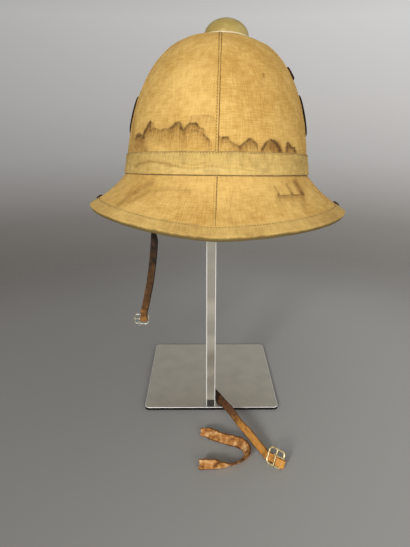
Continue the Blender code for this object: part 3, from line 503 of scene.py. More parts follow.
SIDE_SEAM = math.radians(67.5)
REAR_SEAM = math.radians(120)
BAND_HEIGHT = 20 * MM
CROWN_HOLE_RADIUS = 14 * MM
CROWN_SEAM_WIDTH = 3 * MM
GORE_TRIM = CROWN_SEAM_WIDTH / 2 - 0.5 * MM
LATTICE = 64
CAMERA_AT = np.array([-9.9, -533, 325]) * MM
CAMERA_TURNED = math.radians(-0.32)
CAMERA_RAISED = math.radians(90 - 19.46)
FOCAL_LENGTH = 480.0
PHOTO_SIZE = (410, 547)


def smooth(share):
    """A smooth step from 0 to 1."""
    return share * share * (3 - 2 * share)


def bell(value):
    """A bump that is 1 at 0 and falls off on both sides."""
    return np.exp(-(value**2))


def lumps(points, size, seed):
    """Smooth noise from -1 to 1: random values on a cubic lattice, blended by smooth steps."""
    table = np.random.default_rng(seed).uniform(-1, 1, (LATTICE,) * 3)
    place = points / np.broadcast_to(size, 3)
    cell = np.floor(place).astype(int)
    share = smooth(place - cell)
    total = np.zeros(points.shape[:-1])
    for corner in np.ndindex(2, 2, 2):
        weight = np.where(corner, share, 1 - share).prod(-1)
        index = (cell + corner) % LATTICE
        total += weight * table[index[..., 0], index[..., 1], index[..., 2]]
    return total


def sheet_faces(rows, columns):
    """Faces of a closed sheet whose points are an outer grid and then an inner one."""
    count = rows * columns
    outer = grid_faces(rows, columns)
    low = np.arange(columns)
    right = columns * np.arange(1, rows) + columns - 1
    high = count - 2 - np.arange(columns - 1)
    left = columns * np.arange(rows - 2, 0, -1)
    rim = np.concatenate([low, right, high, left])
    after = np.roll(rim, -1)
    sides = np.stack([rim, rim + count, after + count, after], -1)
    return np.concatenate([outer, outer[:, ::-1] + count, sides])


def turn_across(surface, turn, climb, width):
    """The turn that covers a width at this place."""
    travel = surface(turn + TINY, climb) - surface(turn - TINY, climb)
    return width * 2 * TINY / np.linalg.norm(travel, axis=-1)


def in_photo(points):
    """Where points appear in the photograph, in its pixels, counted right and down."""
    turned = Matrix.Rotation(CAMERA_TURNED, 3, "Z") @ Matrix.Rotation(CAMERA_RAISED, 3, "X")
    seen = (points - CAMERA_AT) @ np.array(turned)
    right = PHOTO_SIZE[0] / 2 - FOCAL_LENGTH * seen[..., 0] / seen[..., 2]
    down = PHOTO_SIZE[1] / 2 + FOCAL_LENGTH * seen[..., 1] / seen[..., 2]
    return np.stack([right, down], -1)


def from_line(places, line):
    """Distance of each place from a line through the given points, in pixels."""
    line = np.array(line, float)
    start = line[:-1]
    step = np.diff(line, axis=0)
    offset = places[:, None] - start
    share = np.clip((offset * step).sum(-1) / (step**2).sum(-1), 0, 1)
    return np.linalg.norm(offset - share[..., None] * step, axis=-1).min(1)


# Water marks, charted: each line runs through points right and down in the photograph
# These tables also chart painted shade: a dark line along a crease in the brim, broad bands on the
# brim's left, patches and a strip just below the band, and a strip down the crown's left edge.
TIDE_LEFT = (
    (135.8, 139.6), (137.4, 135.6), (139.5, 134.9), (141.4, 136.5), (142.6, 137.7),
    (144.2, 133.4), (146.0, 129.7), (148.2, 126.0), (150.5, 121.6), (150.2, 126.6),
    (149.7, 131.5), (152.2, 129.7), (154.7, 128.1), (157.2, 129.4), (160.2, 131.5),
    (163.3, 129.4), (165.2, 128.6), (167.7, 129.7), (170.8, 128.1), (173.2, 126.3),
    (176.3, 123.5), (178.8, 122.8), (180.3, 124.7), (181.0, 128.4), (183.1, 130.9),
    (185.3, 128.8), (187.5, 125.4), (189.9, 123.5), (193.6, 124.2), (196.1, 123.2),
    (197.4, 126.0), (199.8, 127.8), (203.2, 128.8),
)
TIDE_BRANCH = ((194.9, 130.3), (199.8, 131.5), (202.9, 134.0), (206.0, 137.1), (209.1, 139.6))
TIDE_FAINT = (
    (189.9, 117.3), (193.0, 116.4), (196.7, 116.1), (202.3, 115.5), (207.9, 115.5),
    (210.3, 116.7), (212.8, 117.3), (214.7, 118.6),
)
TIDE_RIGHT = (
    (218.1, 136.5), (221.6, 137.6), (227.9, 137.3), (228.6, 140.2), (231.1, 142.1),
    (234.3, 144.0), (238.1, 145.9), (240.1, 147.8), (240.7, 145.9), (243.9, 144.0),
    (247.7, 140.8), (249.9, 138.6), (252.8, 140.8), (256.0, 144.0), (257.0, 147.8),
)
TIDE_ARCH = (
    (262.4, 149.4), (264.3, 145.3), (267.5, 141.5), (270.7, 139.9), (273.9, 141.5),
    (277.1, 144.0), (278.6, 147.2), (280.2, 150.4),
)
TIDE_SPIKE = (
    (286.9, 150.4), (287.9, 142.7), (289.8, 145.3), (290.8, 147.8), (293.6, 147.8), (294.9, 151.0),
)
WATER_AND_SHADE_LINES = (
    # line, half width in pixels, strength
    (TIDE_LEFT, 1.25, 0.65),
    (TIDE_LEFT[1:9], 1.5, 0.8),
    (TIDE_LEFT[1:5], 2.5, 0.8),
    (TIDE_LEFT[18:26], 2.2, 0.75),
    (TIDE_LEFT[26:31], 1.6, 0.8),
    (TIDE_BRANCH, 1.3, 0.6),
    (TIDE_FAINT, 1.4, 0.4),
    (TIDE_RIGHT, 1.5, 0.6),
    (TIDE_RIGHT[8:14], 1.9, 0.75),
    (TIDE_ARCH, 1.6, 0.8),
    (TIDE_ARCH[4:], 2.2, 0.95),
    (TIDE_SPIKE, 1.4, 0.85),
    (((222.2, 137.6), (227.3, 137.3)), 1.1, 0.9),
    (((238.1, 146.2), (241.2, 147.6)), 1.3, 0.8),
    (((206.0, 137.4), (209.1, 139.4)), 1.2, 0.8),
    (((202.2, 128.4), (203.2, 128.8)), 0.9, 0.6),
    (((263.4, 73.2), (263.6, 73.8)), 0.8, 0.7),
    (((278.4, 193.6), (279.8, 195.8)), 1.1, 0.7),
    (((283.6, 193.9), (284.2, 195.2)), 0.9, 0.5),
    (((291.7, 193.0), (292.7, 194.9)), 1.1, 0.65),
    (((301.4, 192.0), (303.0, 194.4)), 1.3, 0.7),
    (((277.5, 195.9), (291.0, 194.9), (304.0, 194.5)), 0.7, 0.7),
    # Painted shade: a thin dark line along a curved crease in the brim.
    (((232.8, 189.5), (229.3, 212.0), (233.7, 223.3), (240.6, 227.7)), 0.7, 0.25),
)
RUNS = (
    # pixels down from the line per half width, spread per half width, share of the line's strength
    (1.6, 2.2, 1.0),
    (4.0, 3.2, 0.8),
    (7.5, 4.2, 0.55),
)
STAIN_AND_SHADE_WASHES = (
    # middle right, middle down, half width, half height, strength
    (140.0, 139.0, 3.0, 4.5, 0.9),
    (149.0, 129.0, 2.5, 6.0, 0.6),
    (181.8, 127.5, 1.8, 3.6, 0.6),
    (164.0, 137.0, 22.0, 9.0, 0.55),
    (173.0, 132.0, 11.0, 6.0, 0.7),
    (192.0, 134.0, 13.0, 8.0, 0.35),
    (205.0, 136.0, 5.0, 5.0, 0.4),
    (205.0, 117.0, 13.0, 4.0, 0.35),
    (234.0, 146.5, 12.0, 4.5, 0.45),
    (249.0, 143.5, 6.0, 4.5, 0.9),
    (222.0, 140.0, 6.0, 3.5, 0.5),
    (273.0, 146.0, 7.0, 6.5, 1.2),
    (290.0, 148.5, 3.4, 3.6, 0.9),
    # Painted shade: these two broad patches darken the brim just below the band.
    (230.0, 181.0, 18.0, 5.0, 0.25),
    (290.0, 183.0, 20.0, 6.0, 0.25),
    (249.5, 235.5, 6.0, 3.0, 0.5),
)
SHADES_AND_SPLASHES = (
    # line, half width in pixels, strength
    # The first four lines are painted shade: broad diagonal bands on the brim's left, a strip on the
    # brim just below the band, and a strip down the crown's left edge. The last four are dirt splashes
    # on the right of the brim.
    (((118.0, 206.0), (128.0, 197.0), (140.0, 190.0), (152.0, 183.0)), 3.5, 0.5),
    (((128.0, 202.0), (148.0, 192.0), (168.0, 189.0), (190.0, 191.0)), 3.0, 0.4),
    (((160.0, 180.0), (190.0, 181.0), (212.0, 180.0)), 4.0, 0.25),
    (((136.0, 96.0), (133.0, 130.0), (131.0, 150.0)), 3.0, 0.45),
    (((274.5, 186.5), (279.5, 194.5)), 1.7, 0.5),
    (((281.5, 189.0), (284.0, 194.5)), 1.4, 0.3),
    (((286.5, 184.0), (292.5, 194.0)), 2.2, 0.6),
    (((295.0, 182.0), (302.0, 193.0)), 3.2, 0.8),
)


def water_marks_and_shade(points):
    """How strongly each point is darkened by stains and by painted shade: the charted lines and what
    ran down from them, the washes, and the lines of painted shade and dirt splashes."""
    places = in_photo(points.reshape(-1, 3))
    lines = np.zeros(len(places))
    washes_and_shade = np.zeros(len(places))
    for line, half_width, strength in WATER_AND_SHADE_LINES:
        lines = np.maximum(lines, strength * bell(from_line(places, line) / half_width))
        for down, spread, share in RUNS:
            under = from_line(places - np.array([0, down * half_width]), line)
            washes_and_shade = np.maximum(washes_and_shade, share * strength * bell(under / (spread * half_width)))
    for right, down, half_width, half_height, strength in STAIN_AND_SHADE_WASHES:
        away = np.hypot((places[:, 0] - right) / half_width, (places[:, 1] - down) / half_height)
        washes_and_shade = np.maximum(washes_and_shade, strength * bell(away))
    for line, half_width, strength in SHADES_AND_SPLASHES:
        washes_and_shade = np.maximum(washes_and_shade, strength * bell(from_line(places, line) / half_width))
    return {"line": lines, "wash_and_shade": washes_and_shade}


def drill_look(name, light, dark, soiled=0.0):
    """Cotton drill: threads both ways, uneven yarn, soft soiling, and water marks and painted shade
    where its marks say.
    """
    look = Look(name, roughness=0.9, specular=0.15)
    across = look.noise(1.1 * MM, 3.0, (1, 0.1, 1), flat=True)
    upward = look.noise(1.1 * MM, 3.0, (0.1, 1, 1), flat=True)
    clouds = look.noise(50 * MM, 3.0)
    grime = look.noise(7 * MM, 5.0)
    tone = clouds * 1.5 + grime * 0.8 + (across + upward) * 0.9
    look.paint(tone, 1.55, 2.6, light, dark)
    if soiled:
        look.tint(look.ramp(look.noise(14 * MM, 4.0), 0.5, 0.75) * soiled, GRIME)
    ragged = look.noise(2.5 * MM, 5.0)
    # The wash mark darkens by water washes and by painted shade in creases, below the band, on the
    # upper band and along edges.
    wash_and_shade = look.attribute("wash_and_shade") * (across * 1.2 + ragged * 0.8)
    look.tint(look.ramp(wash_and_shade, 0.0, 1.1), WASH_AND_SHADE)
    # The line mark draws tide lines, and painted shade along the seams' edges and along a crease.
    line = look.attribute("line") * (ragged * 1.4 + 0.25)
    look.tint(look.ramp(line, 0.1, 1.0), TIDE_AND_SHADE)
    threads = look.noise(0.5 * MM, 1.0, (1, 0.25, 1), flat=True)
    threads = threads + look.noise(0.5 * MM, 1.0, (0.25, 1, 1), flat=True)
    look.bump(threads + grime * 0.6, 0.22 * MM, 0.7)
    return look


def panel(name, surface, turns, climbs, flat, fine_depth, fine_size, seed):
    """A panel of drill on a surface of the helmet, with shallow dents and finer ones, and water marks
    and painted shade if it is in front."""
    plain = on_helmet(surface, turns, climbs)
    dents = DENT_DEPTH * lumps(plain, DENT_SIZE, seed) + fine_depth * lumps(plain, fine_size, seed + 1)
    outer = on_helmet(surface, turns, climbs, dents)
    inner = on_helmet(surface, turns, climbs, -COVER)
    points = np.concatenate([outer.reshape(-1, 3), inner.reshape(-1, 3)])
    marks = water_marks_and_shade(points) if "front" in name else None
    faces = [sheet_faces(*turns.shape)]
    flat = np.concatenate([flat, flat])
    build(name + "_cloth", points, faces, khaki, "khaki_cloth", name, cloth=flat, marks=marks)


KHAKI_LIGHT = (0.86, 0.56, 0.175)
KHAKI_DARK = (0.56, 0.31, 0.07)
TIDE_AND_SHADE = (0.12, 0.058, 0.02)
WASH_AND_SHADE = (0.31, 0.155, 0.036)
GRIME = (0.36, 0.26, 0.10)
GORE_FOOT = BAND_HEIGHT - 3 * MM
DENT_SIZE = 45 * MM
DENT_DEPTH = 0.35 * MM
GORES = (
    # name, first seam, last seam, points across, points up
    ("gore_front_right", 0, SIDE_SEAM, 140, 180),
    ("gore_side_right", SIDE_SEAM, REAR_SEAM, 70, 110),
    ("gore_rear_right", REAR_SEAM, math.pi, 70, 110),
    ("gore_rear_left", math.pi, 2 * math.pi - REAR_SEAM, 70, 110),
    ("gore_side_left", 2 * math.pi - REAR_SEAM, 2 * math.pi - SIDE_SEAM, 70, 110),
    ("gore_front_left", 2 * math.pi - SIDE_SEAM, 2 * math.pi, 140, 180),
)

khaki = drill_look("khaki_drill", KHAKI_LIGHT, KHAKI_DARK)

for name, first, last, columns, rows in GORES:
    foot = climb_at_height(GORE_FOOT)
    climbs = even_climbs(0.0, foot, climb_at_radius(CROWN_HOLE_RADIUS), rows)[:, None]
    low = first + turn_across(crown, first, climbs, GORE_TRIM)
    high = last - turn_across(crown, last, climbs, GORE_TRIM)
    turns = low + (high - low) * np.linspace(0, 1, columns)
    middle = (first + last) / 2
    spread = (turns - middle) / turn_across(crown, middle, climbs, 1.0)
    arc = (climbs - foot) * CROWN_HEIGHT * math.pi / 2
    flat = np.stack(np.broadcast_arrays(spread, arc), -1)
    panel(name, crown, turns, climbs, flat, 0.12 * MM, 9 * MM, 3)

# Seams: the gores' edges are folded into each other and sewn flat, which leaves a low ridge with one
# row of stitches, its edges darkened by painted shade. The brim's four joins are the same, the left
# one sewn in a pale thread.

BRIM_SEAM_WIDTH = 3 * MM
SEAM_PROUD = 0.5 * MM
SEAM_ROWS = 160
STITCH_PITCH = 2.6 * MM
STITCH_LENGTH = 1.7 * MM
STITCH_RADIUS = 0.24 * MM
STITCH_SHARES = (-1, -0.75, 0, 0.75, 1)
STITCH_SIDES = 6
STITCHES_LIFT = 0.6 * SEAM_PROUD
RIDGE_POINTS = 21
RIDGE_SLOPE = 0.25
RIDGE_FOOT = 0.05 * MM
GROOVE_AT = 0.5
GROOVE_SPREAD = 0.14
GROOVE_DEPTH = 0.55
SEAM_LIGHT = (0.80, 0.52, 0.16)
SEAM_DARK = (0.54, 0.32, 0.08)
THREAD_AND_BAND_EDGE_SHADE = (0.20, 0.12, 0.045)
PALE_THREAD = (0.92, 0.84, 0.62)


def thread_look(name, colour):
    look = Look(name, roughness=0.8, specular=0.2)
    look.shade("Base Color", (*colour, 1))
    return look


def sampled(at, travel, rows):
    """Rows of numbers that belong to travelled distances, at other distances."""
    return np.stack([np.interp(at, travel, column) for column in rows.T], 1)


def stitches(lines):
    """Short threads along lines of points and normals: round bars that dip into the cloth at both
    ends, one after another at an even pitch."""
    share = np.array(STITCH_SHARES)[:, None]
    angle = full_turn(STITCH_SIDES)
    thick = STITCH_RADIUS * np.sqrt(1 - share**2)
    u = share * STITCH_LENGTH / 2 + 0 * angle
    v = thick * np.cos(angle)
    w = thick * np.sin(angle) + STITCH_RADIUS * (1 - 1.6 * share**2)
    blocks = []
    for line, normals in lines:
        travel = travelled(line)
        at = np.arange(STITCH_PITCH / 2, travel[-1], STITCH_PITCH)
        along = unit(sampled(at + MM / 2, travel, line) - sampled(at - MM / 2, travel, line))
        normal = sampled(at, travel, normals)
        axes = np.stack([along, np.cross(normal, along), normal], 1)
        grid = np.stack([u, v, w], -1) @ axes[:, None] + sampled(at, travel, line)[:, None, None]
        inner = grid[:, 1:-1].reshape(len(at), -1, 3)
        blocks.append(np.concatenate([inner, grid[:, [0, -1], 0]], 1))
    blocks = np.concatenate(blocks)
    starts = blocks.shape[1] * np.arange(len(blocks))[:, None, None]
    quads, *fans = capped_faces(len(share) - 2, STITCH_SIDES)
    faces = [(quads + starts).reshape(-1, 4), (np.concatenate(fans) + starts).reshape(-1, 3)]
    return blocks.reshape(-1, 3), faces


def sewn_line(surface, turns, climbs, lift):
    """Points and normals of a line of sewing on a surface."""
    line = on_helmet(surface, turns, climbs, lift)
    return line, (on_helmet(surface, turns, climbs, lift + MM) - line) / MM


def seam(name, surface, turn, climbs, width, left, right, sewn_side):
    """A flat ridge with two sewn grooves, whose height follows a smooth step at each side. left and
    right say how much painted shade darkens its edges, at the foot and at the top. Gives its line of
    sewing."""
    side = np.linspace(-1, 1, RIDGE_POINTS)
    rise = smooth(np.clip((1 - np.abs(side)) / RIDGE_SLOPE, 0, 1))
    groove = GROOVE_DEPTH * bell((np.abs(side) - GROOVE_AT) / GROOVE_SPREAD)
    side = np.r_[side, 1, -1]
    lift = np.r_[SEAM_PROUD * (rise - groove) + RIDGE_FOOT, -COVER, -COVER]
    turns = turn + side * turn_across(surface, turn, climbs, width / 2)[:, None]
    plain = on_helmet(surface, turns, climbs[:, None], lift)
    lift = lift + 0.1 * MM * lumps(plain, 5 * MM, 5)
    points = on_helmet(surface, turns, climbs[:, None], lift)
    flat = np.stack(np.broadcast_arrays(side * width / 2, travelled(points[:, 0])[:, None]), -1)
    flat = np.concatenate([flat.reshape(-1, 2), flat[[0, -1], RIDGE_POINTS // 2]])
    foot, top = (np.where(side < 0, left[end], right[end]) for end in (0, 1))
    share = np.linspace(0, 1, len(points))[:, None]
    # Painted shade: the ridge's edges are darkened, by amounts that change from foot to top.
    dark = (foot + (top - foot) * share) * np.clip((np.abs(side) - 0.45) / 0.3, 0, 1)
    build(
        name + "_cloth",
        np.concatenate([points.reshape(-1, 3), points[[0, -1]].mean(1)]),
        capped_faces(*points.shape[:2]),
        seam_look,
        "seam_cloth",
        name,
        cloth=flat,
        marks={"line": np.r_[dark.ravel(), 0, 0]},
    )
    turns = turn + sewn_side * turn_across(surface, turn, climbs, width / 4)
    return sewn_line(surface, turns, climbs, STITCHES_LIFT)


CROWN_SEAMS = (
    # name, turn, how much painted shade darkens its left and right edges, at the foot and at the top
    ("crown_seam_front", 0.0, (0.1, 0.9), (1.0, 0.9)),
    ("crown_seam_side_right", SIDE_SEAM, (0.5, 0.5), (0.5, 0.5)),
    ("crown_seam_rear_right", REAR_SEAM, (0.5, 0.5), (0.5, 0.5)),
    ("crown_seam_rear", math.pi, (0.5, 0.7), (0.5, 0.7)),
    ("crown_seam_rear_left", 2 * math.pi - REAR_SEAM, (0.5, 0.5), (0.5, 0.5)),
    ("crown_seam_side_left", 2 * math.pi - SIDE_SEAM, (0.5, 0.5), (0.5, 0.5)),
)
BRIM_SEAMS = (
    ("brim_seam_front", 0.0, (0.0, 0.0), (0.5, 0.8)),
    ("brim_seam_right", SIDE_SEAM, (0.5, 0.5), (0.5, 0.5)),
    ("brim_seam_rear", math.pi, (0.5, 0.5), (0.5, 0.5)),
    ("brim_seam_left", 2 * math.pi - SIDE_SEAM, (0.0, 0.0), (0.6, 0.6)),
)


def hem_climb(turn):
    """Where the hem's upper edge lies, as a share of the way from the edge to the crown."""
    return HEM_WIDTH / np.hypot(overhang(turn), drop(turn))


seam_look = drill_look("seam_drill", SEAM_LIGHT, SEAM_DARK)
brown_thread = thread_look("thread", THREAD_AND_BAND_EDGE_SHADE)
pale_thread = thread_look("pale_thread", PALE_THREAD)
sewing = []
for name, turn, left, right in CROWN_SEAMS:
    top = climb_at_radius(CROWN_HOLE_RADIUS)
    climbs = even_climbs(turn, climb_at_height(GORE_FOOT), top, SEAM_ROWS)
    sewing.append(seam(name, crown, turn, climbs, CROWN_SEAM_WIDTH, left, right, -1))
for name, turn, left, right in BRIM_SEAMS:
    climbs = np.linspace(hem_climb(turn) - 0.01, 0.985, 60)
    sewing.append(seam(name, brim, turn, climbs, BRIM_SEAM_WIDTH, left, right, 1))
build("seam_stitches", *stitches(sewing[:-1]), brown_thread, "seam_cloth")
build("pale_stitches", *stitches(sewing[-1:]), pale_thread, "seam_cloth")

# Brim cloth: four panels of the same drill, glued over the pith from the crown's foot to the hem.
# They show painted shade in broad diagonal bands on the left, and splashes of dirt on the right.

BRIM_PANELS = (
    # name, first seam, last seam, points across, points up
    ("brim_panel_front_right", 0, SIDE_SEAM, 180, 60),
    ("brim_panel_rear_right", SIDE_SEAM, math.pi, 160, 34),
    ("brim_panel_rear_left", math.pi, 2 * math.pi - SIDE_SEAM, 160, 34),
    ("brim_panel_front_left", 2 * math.pi - SIDE_SEAM, 2 * math.pi, 180, 60),
)
BRIM_TRIM = BRIM_SEAM_WIDTH / 2 - 0.4 * MM
BRIM_PANEL_TOP = 0.997
BRIM_PANEL_TUCK = 0.02

for name, first, last, columns, rows in BRIM_PANELS:
    low = first + turn_across(brim, first, np.array(0.5), BRIM_TRIM)
    high = last - turn_across(brim, last, np.array(0.5), BRIM_TRIM)
    turns = low + (high - low) * np.linspace(0, 1, columns)
    foot = hem_climb(turns) - BRIM_PANEL_TUCK
    climbs = foot + (BRIM_PANEL_TOP - foot) * np.linspace(0, 1, rows)[:, None]
    turns = turns + 0 * climbs
    flat = np.stack([turns * CROWN_HALF_LENGTH, climbs * FRONT_OVERHANG * 1.4], -1)
    panel(name, brim, turns, climbs, flat, 0.15 * MM, 8 * MM, 6)

# Hem: the brim's cloth is folded round the edge and sewn down with one row of stitches. The fold is
# painted darker and more olive along its nose and underside as shade, with rubbed patches.

HEM_LIGHT = (0.78, 0.52, 0.165)
HEM_DARK = (0.50, 0.30, 0.085)
NOSE_SHADE_AND_WEAR = (0.17, 0.12, 0.04)
HEM_AROUND = 720
BINDING_THICKNESS = 1 * MM
BINDING_PROUD = 0.35 * MM
SEWN_POINTS = 1200

hem_look = drill_look("hem_drill", HEM_LIGHT, HEM_DARK)
# Painted shade: the nose and underside of the fold are painted dark olive, with noise patches of wear.
rubbed = hem_look.attribute("nose") + hem_look.noise(9 * MM, 4.0) * 1.1
hem_look.tint(hem_look.ramp(rubbed, 0.7, 1.5) * 0.9, NOSE_SHADE_AND_WEAR)

turn = full_turn(HEM_AROUND)[:, None]
hem = hem_climb(turn)
under_edge = SHELL_TOP - SHELL_EDGE_THICKNESS - GAP
outside = under_edge - BINDING_THICKNESS
middle = (BINDING_PROUD + outside) / 2
# The section's points: climb as a share of the hem's, lift, how far past the edge, how much painted
# shade
section = []
for share in np.linspace(0, 1, 9):
    dip = 0.3 * MM * (bell((share - 0.16) / 0.05) + np.exp(-share / 0.03))
    section.append((1 - share, BINDING_PROUD - dip, 0.0, 0.0))
for angle in np.radians(np.linspace(80, -90, 12)):
    lift = middle + (BINDING_PROUD - middle) * math.sin(angle)
    past = (GAP + BINDING_THICKNESS) * math.cos(angle) ** 0.6
    section.append((0.0, lift, past, min(1 - math.sin(angle) * 0.8, 1.0)))
shown = len(section)
section += [
    (0.5, outside, 0.0, 1.0),
    (1.0, outside, 0.0, 1.0),
    (1.0, under_edge, 0.0, 1.0),
    (0.0, under_edge, GAP, 1.0),
    (0.0, -COVER, GAP, 1.0),
    (1.0, -COVER, 0.0, 0.0),
]
share, lifts, past, nose = np.array(section).T
climbs = hem * share
outward = unit(on_helmet(brim, turn, 0 * hem) - on_helmet(brim, turn, 0 * hem + 1e-3))
plain = on_helmet(brim, turn, climbs, lifts)
ripple = 0.16 * MM * lumps(plain, 14 * MM, 8) + 0.1 * MM * lumps(plain, 5 * MM, 9)
ripple = ripple * (np.arange(len(section)) < shown)
points = on_helmet(brim, turn, climbs, lifts + ripple) + past[:, None] * outward
front = points[..., 1].ravel() < 0
marks = {label: values * front for label, values in water_marks_and_shade(points).items()}
marks["nose"] = np.broadcast_to(nose, climbs.shape)
rise = np.arange(len(section)) * 1.5 * MM
build(
    "brim_hem",
    points,
    [grid_faces(*climbs.shape, wrap_rows=True, wrap_columns=True)],
    hem_look,
    "hem_cloth",
    "brim_binding",
    cloth=np.stack(np.broadcast_arrays(turn * CROWN_HALF_LENGTH, rise), -1),
    period=2 * math.pi * CROWN_HALF_LENGTH,
    marks=marks,
)
turns = np.linspace(0, 2 * np.pi, SEWN_POINTS)
line = sewn_line(brim, turns, hem_climb(turns) * 0.84, BINDING_PROUD - 0.2 * MM)
build("hem_stitches", *stitches([line]), brown_thread, "hem_cloth")

# Band: a flat strip of drill, a little greener, drawn round the foot of the crown over the gores' ends
# and sewn along its upper edge. It has settled into soft wrinkles, and painted shade darkens its
# creases, its upper part and its top and bottom edges.

BAND_LIGHT = (0.80, 0.56, 0.19)
BAND_DARK = (0.52, 0.34, 0.10)
BAND_THICKNESS = 1.1 * MM
BAND_FOOT = 0.3 * MM
BAND_AROUND = 720
BAND_FOLD_DEPTH = 0.8 * MM
BAND_PALE_FROM = 165.0
BAND_SEWN_AT = 0.93
BAND_FOLDS = (
    # line, half width in pixels, strength
    (((136.0, 166.5), (140.0, 164.0), (150.0, 161.5), (165.0, 163.5), (178.0, 166.5)), 1.5, 0.9),
    (((165.0, 165.5), (178.0, 167.0), (190.0, 168.5), (202.0, 168.0), (213.0, 166.0)), 1.2, 1.0),
    (((176.0, 162.5), (190.0, 165.5), (205.0, 163.0)), 1.3, 0.5),
    (((213.0, 166.5), (226.0, 168.0), (240.0, 169.0), (252.0, 171.0)), 1.2, 0.8),
    (((240.0, 165.0), (256.0, 168.0), (272.0, 171.0)), 1.3, 0.5),
    (((139.0, 169.5), (150.0, 168.5), (160.0, 170.0)), 1.1, 0.4),
)

band_look = drill_look("band_drill", BAND_LIGHT, BAND_DARK, soiled=0.35)
# Painted shade: the band's top and bottom edges are painted dark in the thread's colour, broken up by
# noise.
painted_edge_shade = band_look.attribute("edge") * (band_look.noise(4 * MM) + 0.5)
band_look.tint(band_look.ramp(painted_edge_shade, 0.3, 1.1) * 0.85, THREAD_AND_BAND_EDGE_SHADE)

turn = full_turn(BAND_AROUND)[:, None]
share = np.linspace(0, 1, 24)
rounded = np.sqrt(np.clip(1 - np.abs(2 * share - 1) ** 24, 0, 1))
groove = 0.3 * MM * bell((share - BAND_SEWN_AT) / 0.02)
lifts = np.r_[GAP + BAND_THICKNESS * (0.35 + 0.65 * rounded) - groove, GAP, GAP]
edges = np.clip(np.r_[bell((1 - share) / 0.05) + bell(share / 0.04), 1, 1], 0, 1)
heights = np.r_[BAND_FOOT + (BAND_HEIGHT - BAND_FOOT) * share, BAND_HEIGHT, BAND_FOOT]
climbs = climb_at_height(heights)
plain = on_helmet(crown, turn, climbs)
places = in_photo(plain)
folds = np.zeros(plain.shape[:2])
# Painted shade: the crease lines are darkened as well as sunk into the band.
for line, half_width, strength in BAND_FOLDS:
    away = from_line(places.reshape(-1, 2), line).reshape(folds.shape)
    folds = np.maximum(folds, strength * bell(away / half_width))
folds = folds * (plain[..., 1] < 0)
creases = lumps(plain, np.array([15, 15, 4]) * MM, 10) * 0.45 + lumps(plain, 22 * MM, 11) * 0.3
creases = (creases * MM - BAND_FOLD_DEPTH * folds) * (lifts > GAP)
# Painted shade: the band is darkened above a pale lower strip, where its rolled foot catches the
# light.
shaded = np.clip(1 - (places[..., 1] - BAND_PALE_FROM) / 3.0, 0, 1)
build(
    "band_cloth",
    on_helmet(crown, turn, climbs, lifts + creases),
    [grid_faces(*folds.shape, wrap_rows=True, wrap_columns=True)],
    band_look,
    "band_cloth",
    "band",
    cloth=np.stack(np.broadcast_arrays(turn * CROWN_HALF_LENGTH, heights), -1),
    period=2 * math.pi * CROWN_HALF_LENGTH,
    marks={"wash_and_shade": 0.42 * folds + 0.22 * shaded, "edge": np.broadcast_to(edges, folds.shape)},
)
turns = np.linspace(0, 2 * np.pi, SEWN_POINTS)
height = BAND_FOOT + BAND_SEWN_AT * (BAND_HEIGHT - BAND_FOOT)
line = sewn_line(crown, turns, climb_at_height(height), GAP + BAND_THICKNESS - 0.15 * MM)
build("band_stitches", *stitches([line]), brown_thread, "band_cloth")

# Ventilator: a pressed sheet-metal dome, painted to match the cloth and worn to a satin, on a plain
# tube that stands in the hole at the crown's top. A painted highlight runs along its rolled rim.

VENT_RADIUS = 22.4 * MM
VENT_HEIGHT = 18.5 * MM
VENT_LIP = 1.5 * MM
VENT_WALL = 1.5 * MM
VENT_ROUNDNESS = 1.95
VENT_GAP = 1.6 * MM
VENT_TILT = math.radians(2.0)
VENT_AROUND = 120
VENT_PAINT = (0.45, 0.32, 0.085)
VENT_WORN = (0.53, 0.41, 0.135)
VENT_RIM_HIGHLIGHT = (0.86, 0.76, 0.50)

vent_look = Look("vent_paint", metallic=0.1)
rubbed = vent_look.noise(7 * MM, 6.0)
vent_look.paint(rubbed, 0.4, 0.7, VENT_PAINT, VENT_WORN)
# Painted highlight: a pale line along the rolled rim.
vent_look.tint(vent_look.attribute("rim") * 0.8, VENT_RIM_HIGHLIGHT)
vent_look.shade("Roughness", rubbed * 0.3 + 0.26)
vent_look.bump(vent_look.noise(3 * MM, 3.0), 0.08 * MM, 0.5)


def turned(profile, around, place):
    """A body turned round Z and then placed. Its profile starts and ends on the axis."""
    radius, height = np.array(profile).T[:, :, None]
    angle = full_turn(around)
    points = np.stack([radius * np.cos(angle), radius * np.sin(angle), height + 0 * angle], -1)
    points = np.concatenate([points[1:-1].reshape(-1, 3), points[[0, -1], 0]])
    return points @ place[:3, :3].T + place[:3, 3], capped_faces(len(profile) - 2, around)


def dome(radius, height, foot, steps):
    """Radius and height along a superellipse from its foot to the axis."""
    angles = np.linspace(0, np.pi / 2, steps)
    spread = np.clip(np.cos(angles), 0, 1) ** (2 / VENT_ROUNDNESS)
    rise = np.sin(angles) ** (2 / VENT_ROUNDNESS)
    return np.stack([radius * spread, foot + height * rise], -1)


